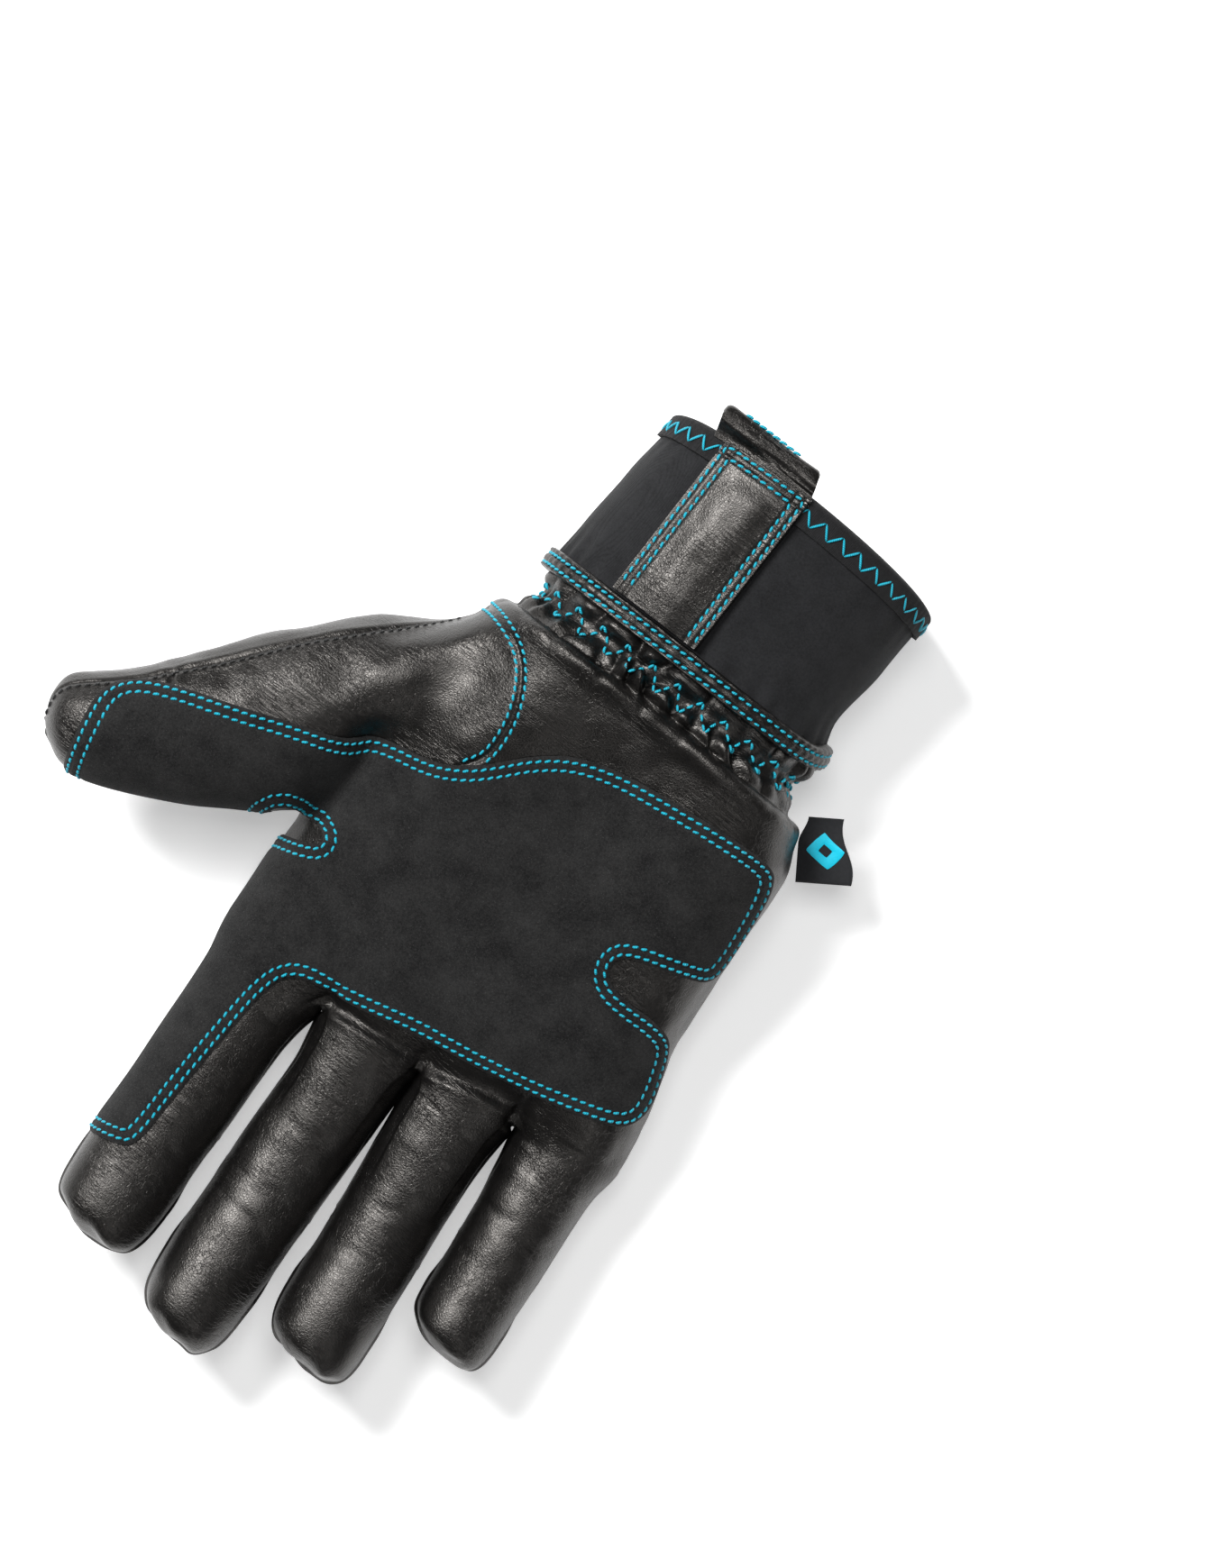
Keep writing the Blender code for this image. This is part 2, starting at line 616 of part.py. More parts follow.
def add_hand(skin, joints):
    trims = hand_trims(skin, joints)
    forks = {"crotch_fork_2": "crotch_fork_little_ring", "crotch_fork_4": "crotch_fork_ring_middle",
             "crotch_fork_6": "crotch_fork_middle_index"}
    add_object("back_panel", *shell(skin, skin.tagged("back_panel"), 0.0, LEATHER, trims), "leather")
    palm_side = shell(skin, skin.tagged("palm_panel"), 0.0, LEATHER, trims)
    palm = add_object("palm_panel", *palm_side, "leather")
    cut_by(palm, outline_cutter("thenar_hole", grown(THENAR_OUTLINE, SEAM_GAP / 2), *CUT_SPAN), "DIFFERENCE")
    thenar = add_object("thenar_panel", *palm_side, "leather")
    inside = grown(THENAR_OUTLINE, -SEAM_GAP / 2)
    cut_by(thenar, outline_cutter("thenar_outline", inside, *CUT_SPAN), "INTERSECT")
    for tag, name in forks.items():
        add_object(name, *shell(skin, skin.tagged(tag), 0.0, LEATHER, trims), "leather")
    every = skin.tagged("back_panel", "palm_panel", *forks)
    depth = LEATHER + LAYER_GAP
    hemmed = hand_trims(skin, joints, [(Hem(), 0, 0)])
    add_object("hand_insert", *shell(skin, every, depth, depth + INSERT, hemmed), "insert")


def add_digit(skin, joints, digit):
    """The leather panels and the insert of a digit's base and tip."""
    for number, part in enumerate(("base", "tip")):
        trims = trims_for(joints, digit, part)
        origin = joints[digit][number].pivot
        panels = [f"{digit}_front_{part}", f"{digit}_back_{part}"]
        if part == "base":
            panels += [f"{digit}_fork_thumb_side", f"{digit}_fork_little_side"]
        panels = [tag for tag in panels if tag in skin.tags]
        for tag in panels:
            add_object(tag, *shell(skin, skin.tagged(tag), 0.0, LEATHER, lambda _: trims), "leather", origin)
        depth = LEATHER + LAYER_GAP
        solid = shell(skin, skin.tagged(*panels), depth, depth + INSERT, lambda _: trims)
        add_object(f"{digit}_insert_{part}", *solid, "insert", origin)


def add_patch(skin, joints):
    """The grip patch, one piece on the real glove, split where the index finger and the thumb bend."""
    digit_cutter = outline_cutter("patch_outline", PATCH_OUTLINE, *CUT_SPAN)
    palm_cutter = outline_cutter("palm_patch_outline", PATCH_OUTLINE, PALM_PATCH_LOW, CUT_SPAN[1])
    stretches = {"palm_patch": (skin.tagged("palm_panel"), hand_trims(skin, joints), Vector())}
    for digit in ("index", "thumb"):
        for number, part in enumerate(("base", "tip")):
            trims = trims_for(joints, digit, part)
            stretches[f"{digit}_patch_{part}"] = (
                skin.tagged(f"{digit}_front_{part}"), lambda _, t=trims: t, joints[digit][number].pivot)
    for name, (faces, trims, origin) in stretches.items():
        made = add_object(name, *shell(skin, faces, -LAYER_GAP - PATCH, -LAYER_GAP, trims), "suede", origin)
        cut_by(made, palm_cutter if name == "palm_patch" else digit_cutter, "INTERSECT")


def add_wrist_and_cuff():
    gather_y = [y for y, *_ in GATHER_SECTIONS]
    pivot = Vector((0.0, WRIST_Y, WRIST_Z))
    gather = band_profile(gather_y[2], gather_y[0], 0.0, -LEATHER, [gather_y[1]])
    add_object("wrist_gather", *sweep(gather, GATHER_SECTIONS), "leather")
    under = -LEATHER - LAYER_GAP
    elastic = band_profile(*ELASTIC_SPAN, under, under - ELASTIC, [gather_y[1]])
    add_object("wrist_elastic", *sweep(elastic, GATHER_SECTIONS), "elastic")
    under -= ELASTIC + LAYER_GAP
    insert = band_profile(gather_y[2], gather_y[0], under, under - INSERT, [gather_y[1]])
    add_object("wrist_insert", *sweep(insert, GATHER_SECTIONS), "insert")

    low, high = SLEEVE_SECTIONS[-1][0], SLEEVE_SECTIONS[0][0]
    sleeve = band_profile(low, high, 0.0, -SLEEVE, SLEEVE_RINGS)
    add_object("cuff_sleeve", *sweep(sleeve, SLEEVE_SECTIONS), "neoprene", pivot)
    binding = band_profile(*BINDING_SPAN, LAYER_GAP + BINDING, LAYER_GAP)
    add_object("cuff_binding", *sweep(binding, SLEEVE_SECTIONS), "leather", pivot)
    edge, outside, inside = low - LAYER_GAP, LAYER_GAP, -SLEEVE - LAYER_GAP
    trim = [(low + TRIM_WIDTH, outside + TRIM), (edge - TRIM, outside + TRIM), (edge - TRIM, inside - TRIM),
            (low + TRIM_WIDTH, inside - TRIM), (low + TRIM_WIDTH, inside), (edge, inside),
            (edge, outside), (low + TRIM_WIDTH, outside)]
    add_object("cuff_trim", *sweep(trim[::-1], SLEEVE_SECTIONS), "elastic", pivot)


def strip(path, xs, thickness):
    """A flat strip: path is a line of (y, z, y normal, z normal), spanned between two x at each step."""
    points, faces = [], []
    for (y, z, ny, nz), (x0, x1) in zip(path, xs):
        for x, depth in ((x0, 0.0), (x1, 0.0), (x1, thickness), (x0, thickness)):
            points.append(Vector((x, y + ny * depth, z + nz * depth)))
    for k in range(len(path) - 1):
        for j in range(4):
            i = (j + 1) % 4
            faces.append((k * 4 + j, (k + 1) * 4 + j, (k + 1) * 4 + i, k * 4 + i))
    last = (len(path) - 1) * 4
    faces += [(0, 1, 2, 3), (last + 3, last + 2, last + 1, last)]
    return points, faces


def cuff_top(y, x, grow):
    """z of the cuff's palm-side surface at a place, grow mm outside the sleeve."""
    _, cx, half_width, half_height = section_at(SLEEVE_SECTIONS, y)
    share = min(0.99, abs(x - cx) / (half_width + grow))
    return WRIST_Z + (half_height + grow) * (1 - share ** OVAL_POWER) ** (1 / OVAL_POWER)


def add_pull_tab():
    """The leather strip sewn along the cuff, over the trim, and the loop that carries on past the edge."""
    clear = 2 * LAYER_GAP + TRIM
    across = [TAB_X[0] + (TAB_X[1] - TAB_X[0]) * k / 6 for k in range(7)]
    ends = [TAB_SPAN[0] + (TAB_SPAN[1] - TAB_SPAN[0]) * k / 4 for k in range(5)]
    points, faces = [], []
    for y in ends:
        for depth in (0.0, TAB):
            points += [Vector((x, y, cuff_top(y, x, clear) + depth)) for x in across]
    n = len(across)
    for k in range(len(ends) - 1):
        low, high = k * 2 * n, (k + 1) * 2 * n
        for j in range(n - 1):
            faces.append((low + j, high + j, high + j + 1, low + j + 1))
            faces.append((low + n + j, low + n + j + 1, high + n + j + 1, high + n + j))
        faces.append((low, low + n, high + n, high))
        faces.append((low + n - 1, high + n - 1, high + 2 * n - 1, low + 2 * n - 1))
    last = (len(ends) - 1) * 2 * n
    for j in range(n - 1):
        faces.append((j, j + 1, n + j + 1, n + j))
        faces.append((last + j + 1, last + j, last + n + j, last + n + j + 1))
    add_object("pull_tab", points, faces, "leather", Vector((0.0, WRIST_Y, WRIST_Z)))

    start_y = TAB_SPAN[0] - LOOP_GAP
    middle_z = cuff_top(start_y, sum(TAB_X) / 2, clear) + TAB / 2 - LOOP_HALF
    bend_y = start_y - LOOP_REACH + LOOP_HALF
    path = [(start_y, middle_z + LOOP_HALF, 0.0, -1.0)]
    for k in range(LOOP_SIDES + 1):
        angle = math.pi * k / LOOP_SIDES
        path.append((bend_y - LOOP_HALF * math.sin(angle), middle_z + LOOP_HALF * math.cos(angle),
                     math.sin(angle), -math.cos(angle)))
    path.append((start_y - LOOP_SHORT, middle_z - LOOP_HALF, 0.0, 1.0))
    xs = []
    for y, *_ in path:
        slide = LOOP_SKEW * (start_y - y) / LOOP_REACH
        xs.append((TAB_X[0] + slide, TAB_X[1] + slide))
    hinge = Vector((sum(TAB_X) / 2, start_y, middle_z + LOOP_HALF - LOOP / 2))
    add_object("pull_loop", *strip(path, xs, LOOP), "leather", hinge)
    report_hinge("pull_loop_fold", hinge, Vector((1.0, 0.0, 0.0)))


def add_label():
    """A flag of woven tape, sewn into the seam on the little finger's side."""
    (x0, y0), (x1, y1) = LABEL_SEAM
    seam = Vector((x1 - x0, y1 - y0, 0.0))
    out = Vector((seam.y, -seam.x, 0.0)).normalized() * LABEL_REACH
    out = out if out.x < 0 else -out
    start = Vector((x0, y0, LABEL_Z)) + out * LABEL_CLEAR
    corners = [start, start + seam, start + seam + out, start + out]
    points = corners + [p + Vector((0.0, 0.0, LABEL)) for p in corners]
    faces = [(3, 2, 1, 0), (4, 5, 6, 7), (0, 1, 5, 4), (1, 2, 6, 5), (2, 3, 7, 6), (3, 0, 4, 7)]
    if (corners[1] - corners[0]).cross(corners[3] - corners[0]).z < 0:
        faces = [face[::-1] for face in faces]
    add_object("side_label", points, faces, "label", start)
    report_hinge("label_fold", start + Vector((0.0, 0.0, LABEL / 2)), seam.normalized())


def report_hinge(name, pivot, axis):
    """Prints where a hinge is and which way its axis points, in metres."""
    print("HINGE", name, [round(v * MM, 5) for v in pivot], [round(v, 5) for v in axis])


def main():
    for old in list(bpy.data.objects):
        bpy.data.objects.remove(old)
    skin = Skin(hand_cage())
    joints = digit_joints(skin)
    add_hand(skin, joints)
    for digit in [*FINGERS, "thumb"]:
        add_digit(skin, joints, digit)
    add_patch(skin, joints)
    add_wrist_and_cuff()
    add_pull_tab()
    add_label()
    report_hinge("wrist_flex", Vector((0.0, WRIST_Y, WRIST_Z)), Vector((1.0, 0.0, 0.0)))
    for digit, (knuckle, middle) in joints.items():
        report_hinge(f"{digit}_knuckle", knuckle.pivot, knuckle.axis)
        report_hinge(f"{digit}_bend", middle.pivot, middle.axis)


main()
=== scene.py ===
"""The looks of the cryogenic glove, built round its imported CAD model.

All of the leather comes from one skin: the same coarse cage that the CAD panels were cut from, subdivided
finely, creased and puckered, and cut into the same panels. So every piece lies where its CAD node does, and
two pieces that meet share their edge. Lengths are in mm until a mesh is made, and +Y runs from the cuff to
the fingertips, +X to the thumb side and +Z out of the palm.
"""
import json
import math

import bpy
import numpy as np
from mathutils import Matrix, Vector
from mathutils.bvhtree import BVHTree
from mathutils.kdtree import KDTree


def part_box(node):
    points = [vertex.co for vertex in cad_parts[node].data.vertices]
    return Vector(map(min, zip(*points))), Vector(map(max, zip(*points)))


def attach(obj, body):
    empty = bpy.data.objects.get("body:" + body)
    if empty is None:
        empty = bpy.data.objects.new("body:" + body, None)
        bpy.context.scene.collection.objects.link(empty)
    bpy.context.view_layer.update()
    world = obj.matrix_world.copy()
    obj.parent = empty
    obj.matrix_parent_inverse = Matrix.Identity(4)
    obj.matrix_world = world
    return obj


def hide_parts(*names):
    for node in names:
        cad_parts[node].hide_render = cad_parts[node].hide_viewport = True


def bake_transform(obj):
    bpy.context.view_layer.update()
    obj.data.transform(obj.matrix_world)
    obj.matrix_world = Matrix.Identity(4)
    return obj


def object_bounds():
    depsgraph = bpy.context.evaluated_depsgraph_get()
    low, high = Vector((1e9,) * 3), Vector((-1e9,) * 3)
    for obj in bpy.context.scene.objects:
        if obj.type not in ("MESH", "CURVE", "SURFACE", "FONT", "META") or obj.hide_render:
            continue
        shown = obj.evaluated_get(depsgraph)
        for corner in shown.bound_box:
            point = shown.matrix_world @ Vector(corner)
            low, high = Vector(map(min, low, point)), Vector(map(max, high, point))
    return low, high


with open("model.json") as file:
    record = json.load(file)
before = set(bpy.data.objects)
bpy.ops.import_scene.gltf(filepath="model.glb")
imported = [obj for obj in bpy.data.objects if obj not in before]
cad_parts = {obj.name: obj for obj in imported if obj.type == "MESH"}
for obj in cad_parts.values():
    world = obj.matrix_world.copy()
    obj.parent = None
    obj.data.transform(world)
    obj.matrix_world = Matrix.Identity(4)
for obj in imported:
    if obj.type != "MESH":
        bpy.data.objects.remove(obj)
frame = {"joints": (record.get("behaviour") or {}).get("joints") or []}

CAD_LOW, CAD_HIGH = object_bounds()
MM = 0.001
JOINTS = {joint["name"]: joint for joint in frame["joints"]}

# ---------------------------------------------------------------- sizes

LEATHER = 1.1                       # thicknesses of the layers
PATCH = 0.95
INSERT_DEPTHS = (2.3, 4.8)
WRIST_INSERT_DEPTHS = (3.6, 6.0)
WRIST_ELASTIC_DEPTHS = (2.3, 3.2)
WRIST_CUT = -44.0                   # the leather beyond this is cut into the wrist's pieces
SKIN_LEVELS, LINING_LEVELS = 4, 2

# Palm stations: (y, ulnar edge x, radial edge x, back z, palm z).
PALM_STATIONS = (
    (-50.0, -43.0, 47.5, 1.0, 56.0),
    (-38.0, -50.5, 52.0, 0.0, 53.0),
    (-22.0, -52.5, 53.0, 0.0, 50.0),
    (-6.0, -53.0, 54.0, 0.0, 46.5),
    (10.0, -54.5, 55.0, 0.0, 43.0),
    (26.0, -58.5, 55.5, 0.0, 40.0),
    (41.0, -62.0, 55.5, 0.5, 37.5),
)
COLUMN_SHARE = (0.0, 0.126, 0.256, 0.370, 0.479, 0.601, 0.718, 0.861, 1.0)
EDGE_DROP = (0.34, 0.07, 0.0, 0.0, 0.0, 0.0, 0.0, 0.07, 0.34)
THENAR_RISE = (0.0, 0.0, 0.0, -1.0, -1.0, 0.0, 3.0, 4.5, 2.0)
HYPOTHENAR_RISE = (0.5, 1.5, 1.0, 0.0, 0.0, 0.0, 0.0, 0.0, 0.0)
EDGE_INSET, EDGE_PROUD = 3.5, 1.75
KNUCKLE_X = (-64.5, -49.5, -34.0, -20.7, -7.3, 7.0, 21.0, 37.8, 54.5)
KNUCKLE_Y = (50.0, 52.5, 55.0, 57.3, 59.5, 60.7, 61.5, 61.5, 60.0)
KNUCKLE_Z, KNUCKLE_HALF, CROTCH_SHARE = 18.5, 14.5, 0.62
THUMB_ROWS = (1, 5)                 # palm stations that the thumb grows from
# The gathered wrist: (y, centre x, half width, half height) of an oval round z WRIST_Z.
WRIST_Z = JOINTS["wrist_flex"]["pos_m"][2] / MM
WRIST_X, BINDING_X = 2.4, 2.6       # the middles that angles round the gathers and the binding are taken from
OVAL_RATIO, OVAL_POWER = 1.6, 2.35  # the ovals' width over their height, and how square they are
WRIST_SECTIONS = ((-62.3, 2.6, 41.0, 23.8), (-59.6, 2.6, 41.6, 24.4), (-57.2, 2.4, 41.2, 24.0),
                  (-54.4, 2.3, 40.2, 23.4), (-51.8, 2.3, 41.6, 24.8))

FINGERS = {
    "little": {"column": 0, "length": 61.0, "drift": -6.0, "half_widths": (12.6, 12.1, 11.6), "bend": 29.0},
    "ring": {"column": 2, "length": 81.0, "drift": -9.0, "half_widths": (12.9, 12.8, 13.2), "bend": 37.0},
    "middle": {"column": 4, "length": 91.0, "drift": -6.0, "half_widths": (13.3, 13.4, 12.6), "bend": 41.0},
    "index": {"column": 6, "length": 83.5, "drift": -4.5, "half_widths": (14.6, 13.8, 13.3), "bend": 38.0},
}
FINGER_HALF_HEIGHT = (13.2, 12.6, 11.8)
FINGER_RISE = 0.10
KNUCKLE_REACH, RING_STEP = 11.5, 6.0
TIP_RINGS = ((0.70, 1.0), (0.86, 1.0), (0.965, 0.91))
THUMB_SECTIONS = (                  # inner point, outer point, centre z, half height
    ((57.5, 27.5), (70.0, -28.0), 29.0, 21.5),
    ((61.5, 31.0), (82.6, -13.0), 31.5, 18.8),
    ((74.0, 39.0), (94.8, 2.4), 34.5, 16.5),
    ((84.2, 44.0), (103.6, 13.8), 37.0, 14.8),
    ((92.8, 48.7), (110.0, 22.0), 39.0, 13.6),
    ((101.5, 52.3), (116.5, 28.8), 40.5, 11.8),
    ((109.5, 52.8), (121.5, 34.5), 41.5, 8.6),
)
THUMB_TIP = (120.5, 46.0, 41.8)
THUMB_ROLL = 38.0
# The way along the thumb's end, and where its welt and its slant start.
THUMB_WAY = np.array((0.87, 0.47, 0.03))
THUMB_WELT_START, THUMB_SLANT_START = np.array((96.0, 32.0, 40.0)), np.array((100.0, 34.0, 40.0))

# Outlines in plan, clockwise. Points beyond the hand's edge let a piece run into the side seam there.
PATCH_OUTLINE = (
    (104.5, 62.0), (110.5, 40.0), (112.0, 31.0), (108.5, 25.0), (100.0, 20.5), (85.0, 15.5), (70.0, 9.5),
    (58.0, 5.5), (50.0, -1.5), (38.0, -3.5), (30.0, -8.0), (24.0, -14.0), (18.0, -21.0), (10.0, -27.0),
    (0.0, -30.7), (-15.0, -33.0), (-30.0, -34.7), (-44.5, -35.6), (-48.5, -32.5), (-51.5, -20.0),
    (-52.8, -8.0), (-51.5, -2.4), (-45.0, 0.2), (-31.0, 4.5), (-29.0, 8.5), (-31.5, 12.6), (-38.0, 13.6),
    (-48.0, 13.2), (-54.5, 15.5), (-58.6, 27.0), (-59.6, 34.5), (-57.0, 39.5), (-50.0, 42.6),
    (-30.0, 48.0), (0.0, 53.2), (18.0, 57.5), (28.0, 58.6), (33.0, 61.5), (35.0, 67.0), (35.8, 76.0),
    (36.6, 100.0), (36.6, 116.5), (39.0, 121.0), (62.0, 126.5), (68.0, 80.0), (62.0, 36.5), (48.5, 31.6),
    (46.2, 29.0), (48.5, 26.5), (62.0, 26.5), (64.0, 42.0),
)
THENAR_OUTLINE = (
    (66.0, 40.0), (90.0, 45.0), (110.0, 0.0), (80.0, -45.0), (55.0, -43.0), (46.5, -42.8), (40.5, -41.0),
    (35.5, -37.5), (31.0, -32.0), (28.0, -25.0), (27.0, -18.0), (27.4, -13.0), (30.0, -8.5), (33.0, -4.0),
    (40.0, 8.0), (50.0, 20.0), (58.0, 26.0),
)
# The middle and ring fingers' fronts are set in along these outlines, which run on past the fingers' gaps.
INSET_OUTLINES = (
    ((-34.5, 57.0), (-32.6, 51.8), (-20.0, 54.6), (-7.6, 57.6), (-7.6, 61.0), (-11.0, 90.0), (-15.0, 145.0),
     (-50.0, 145.0), (-41.0, 100.0), (-37.5, 75.0)),
    ((-7.0, 61.0), (-7.0, 57.8), (7.0, 58.8), (21.0, 60.4), (21.6, 63.0), (21.0, 100.0), (16.0, 160.0),
     (-14.0, 160.0), (-11.0, 100.0), (-9.0, 80.0)),
)
CROTCHES = ((-34.0, 56.0), (-7.3, 60.5), (21.0, 62.5))

# Palm-side creases of each finger: distances from the crotch line.
CREASES = {"little": (9.0, 24.0, 36.0), "ring": (8.0, 21.0, 33.0, 48.0), "middle": (12.5, 28.5, 46.5, 54.5),
           "index": (10.0, 31.0, 52.0), "thumb": ()}
# Dents and bulges of the thumb's base in plan: (x, y, height, radius).
THUMB_DENTS = ((67.0, -7.5, -0.6, 6.0), (54.5, 2.0, -0.9, 4.0), (52.0, -9.0, 0.6, 6.5),
               (62.0, -1.0, 0.5, 6.0), (75.0, 8.0, -0.5, 5.0), (81.0, -2.0, 0.4, 7.0),
               (90.0, 12.0, -0.35, 6.0))
THUMB_FOLD = ((51.5, -1.0), (50.8, 10.0), (50.6, 20.0), (52.0, 29.0))

STITCH_PITCH, STITCH_LENGTH, THREAD_RADIUS = 2.3, 1.85, 0.37
STITCH_SLANT = math.radians(13.0)
PATCH_ROWS = (-1.25, -3.5)          # from the patch's edge
THENAR_ROWS = (-1.25, 1.25)         # from the thenar seam
THUMB_SEAM_ROWS = (1.3,)            # from the seam along the thumb's outer side
BINDING_ROWS = (-60.9, -63.6)
TAB_ROWS = (1.35, 3.6)              # from the tab's edges
# Zigzags: the ys of their turns, which the trim counts from the cuff's edge, and their wavelengths.
GATHER_TURNS, GATHER_PITCH = (-51.2, -57.2), 8.6
TRIM_TURNS, TRIM_PITCH = (1.3, 4.9), 5.3
ZIGZAG_STEPS = 4000                 # places round the cuff that a zigzag's points are picked from
# The gathers' ys: the ledge and its foot, the pinch of the zigzag and the lobes on both sides of it.
LEDGE_Y, LEDGE_FOOT_Y, UNDER_LEDGE_Y = -45.2, -49.4, -46.5
HAND_LOBES_Y, PINCH_Y, CUFF_LOBES_Y = -50.8, -54.3, -58.6


# ---------------------------------------------------------------- small tools

def smooth(share):
    share = np.clip(share, 0.0, 1.0)
    return share * share * (3 - 2 * share)


def bump(distance, width):
    """1 at distance 0, falling to 0 like a bell."""
    return np.exp(-np.square(distance / width))


def ripples(points, wavelength, seed, waves=22):
    """Smooth noise of about unit size, made of sine waves in seeded directions."""
    rng = np.random.default_rng(seed)
    directions = rng.normal(size=(waves, 3))
    directions /= np.linalg.norm(directions, axis=1)[:, None]
    lengths = wavelength * rng.uniform(0.7, 1.5, waves)
    phases = rng.uniform(0, 2 * math.pi, waves)
    total = np.zeros(len(points))
    for way, length, phase in zip(directions, lengths, phases):
        total += np.sin(points @ way * (2 * math.pi / length) + phase)
    return total / math.sqrt(waves / 2)


def rounded(outline, rounds=2):
    """An outline with its corners cut, again and again, to a curve."""
    points = np.array(outline, float)
    for _ in range(rounds):
        following = np.roll(points, -1, axis=0)
        points = np.stack([points * 0.75 + following * 0.25, points * 0.25 + following * 0.75], axis=1)
        points = points.reshape(-1, 2)
    return points


def line_distance(points, line, closed=False):
    """Distance in plan from each point to a line of points."""
    line = np.array(line, float)
    ends = np.roll(line, -1, axis=0) if closed else line[1:]
    starts = line if closed else line[:-1]
    nearest = np.full(len(points), 1e9)
    for a, b in zip(starts, ends):
        along = b - a
        share = np.clip(((points - a) @ along) / (along @ along), 0, 1)
        away = points - a - share[:, None] * along
        nearest = np.minimum(nearest, np.einsum("ij,ij->i", away, away))
    return np.sqrt(nearest)


def outline_distance(points, outline):
    """Distance in plan to a closed outline, negative inside it."""
    inside = np.zeros(len(points), bool)
    for (x0, y0), (x1, y1) in zip(outline, np.roll(outline, -1, axis=0)):
        if y0 == y1:
            continue
        crosses = (points[:, 1] > y0) != (points[:, 1] > y1)
        at = x0 + (points[:, 1] - y0) * (x1 - x0) / (y1 - y0)
        inside ^= crosses & (points[:, 0] < at)
    return line_distance(points, outline, closed=True) * np.where(inside, -1, 1)


def oval_point(section, angle, grow=0.0):
    """A point on a rounded oval round the cuff's axis."""
    y, x, half_width, half_height = section
    c, s = math.cos(angle), math.sin(angle)
    return (x + (half_width + grow) * math.copysign(abs(c) ** (2 / OVAL_POWER), c), y,
            WRIST_Z + (half_height + grow) * math.copysign(abs(s) ** (2 / OVAL_POWER), s))


def oval_angles(x, z, middle):
    """The angles of places round a rounded oval."""
    return np.arctan2((z - WRIST_Z) * OVAL_RATIO, x - middle)


def box_mm(node):
    """A CAD node's box in mm, as two corners."""
    return [np.array(corner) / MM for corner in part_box(node)]


def fit(piece, body, node=None):
    """Ties a piece to its body, and hides the CAD node that it replaces."""
    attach(piece, body)
    if node:
        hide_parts(node)


# ---------------------------------------------------------------- the cage

DIGITS = ["hand", "little", "ring", "middle", "index", "thumb"]
THUMB = DIGITS.index("thumb")
PALM_SIDE, BACK_SIDE = 0, 12        # sectors of the hand's own faces. A digit's sectors count round it from 0
LAST_FORK_BAND = 5


class Cage:
    """Quads whose Catmull-Clark limit surface is the outside of the leather."""

    def __init__(self):
        self.points, self.faces, self.labels = [], [], []

    def point(self, x, y, z):
        self.points.append((x, y, z))
        return len(self.points) - 1

    def quad(self, corners, digit, sector, band=0):
        """Adds a face. Its label holds its digit, its sector round that digit and its band along it."""
        self.faces.append(tuple(corners))
        self.labels.append((DIGITS.index(digit) * 20 + sector) * 20 + band)

    def ring_band(self, lower, upper, digit, band):
        n = len(lower)
        for k in range(n):
            m = (k + 1) % n
            self.quad((lower[k], lower[m], upper[m], upper[k]), digit, k, band)


def wrist_rows(cage):
    rows = []
    top_angles = [math.radians(a) for a in np.linspace(154, 26, 9)]
    for section in WRIST_SECTIONS:
        rows.append({
            "top": [cage.point(*oval_point(section, a)) for a in top_angles],
            "bottom": [cage.point(*oval_point(section, -a)) for a in top_angles],
            "ulnar": cage.point(*oval_point(section, math.pi)),
            "radial": cage.point(*oval_point(section, 0.0)),
        })
    return rows


def palm_rows(cage):
    rows = []
    for row, (y, ulnar, radial, back, palm) in enumerate(PALM_STATIONS):
        low, high = ulnar + EDGE_INSET, radial - EDGE_INSET
        half, muscle = (palm - back) / 2, max(0.0, 1.0 - abs(row - 2) / 3.5)
        xs = [low + (high - low) * share for share in COLUMN_SHARE]
        drops = [drop * half for drop in EDGE_DROP]
        rises = [(t + h) * muscle for t, h in zip(THENAR_RISE, HYPOTHENAR_RISE)]
        middle = (back + palm) / 2
        in_hole = THUMB_ROWS[0] < row < THUMB_ROWS[1]
        rows.append({
            "top": [cage.point(x, y, palm - d + r) for x, d, r in zip(xs, drops, rises)],
            "bottom": [cage.point(x, y, back + d) for x, d in zip(xs, drops)],
            "ulnar": cage.point(ulnar - EDGE_PROUD, y, middle),
            "radial": None if in_hole else cage.point(radial + EDGE_PROUD, y, middle),
        })
    return rows


def knuckle_row(cage):
    top, bottom, between = [], [], {}
    for column, (x, y) in enumerate(zip(KNUCKLE_X, KNUCKLE_Y)):
        half = KNUCKLE_HALF * (CROTCH_SHARE if column % 2 == 0 else 1.0)
        inset = {0: EDGE_INSET, 8: -EDGE_INSET}.get(column, 0.0)
        top.append(cage.point(x + inset, y, KNUCKLE_Z + half))
        bottom.append(cage.point(x + inset, y, KNUCKLE_Z - half))
        if column in (2, 4, 6):
            between[column] = cage.point(x, y, KNUCKLE_Z)
    between[0] = cage.point(KNUCKLE_X[0] - EDGE_PROUD, KNUCKLE_Y[0], KNUCKLE_Z)
    between[8] = cage.point(KNUCKLE_X[8] + EDGE_PROUD, KNUCKLE_Y[8], KNUCKLE_Z)
    return {"top": top, "bottom": bottom, "ulnar": between[0], "radial": between[8], "between": between}


def palm_faces(cage, rows, first_palm_row):
    for row, (low, high) in enumerate(zip(rows, rows[1:])):
        for c in range(8):
            for side, sector in (("top", PALM_SIDE), ("bottom", BACK_SIDE)):
                cage.quad((low[side][c], low[side][c + 1], high[side][c + 1], high[side][c]), "hand", sector)
        edges = [(0, "ulnar")]
        if not THUMB_ROWS[0] <= row - first_palm_row < THUMB_ROWS[1]:
            edges.append((8, "radial"))
        for c, edge in edges:
            for side, sector in (("top", PALM_SIDE), ("bottom", BACK_SIDE)):
                cage.quad((low[side][c], low[edge], high[edge], high[side][c]), "hand", sector)


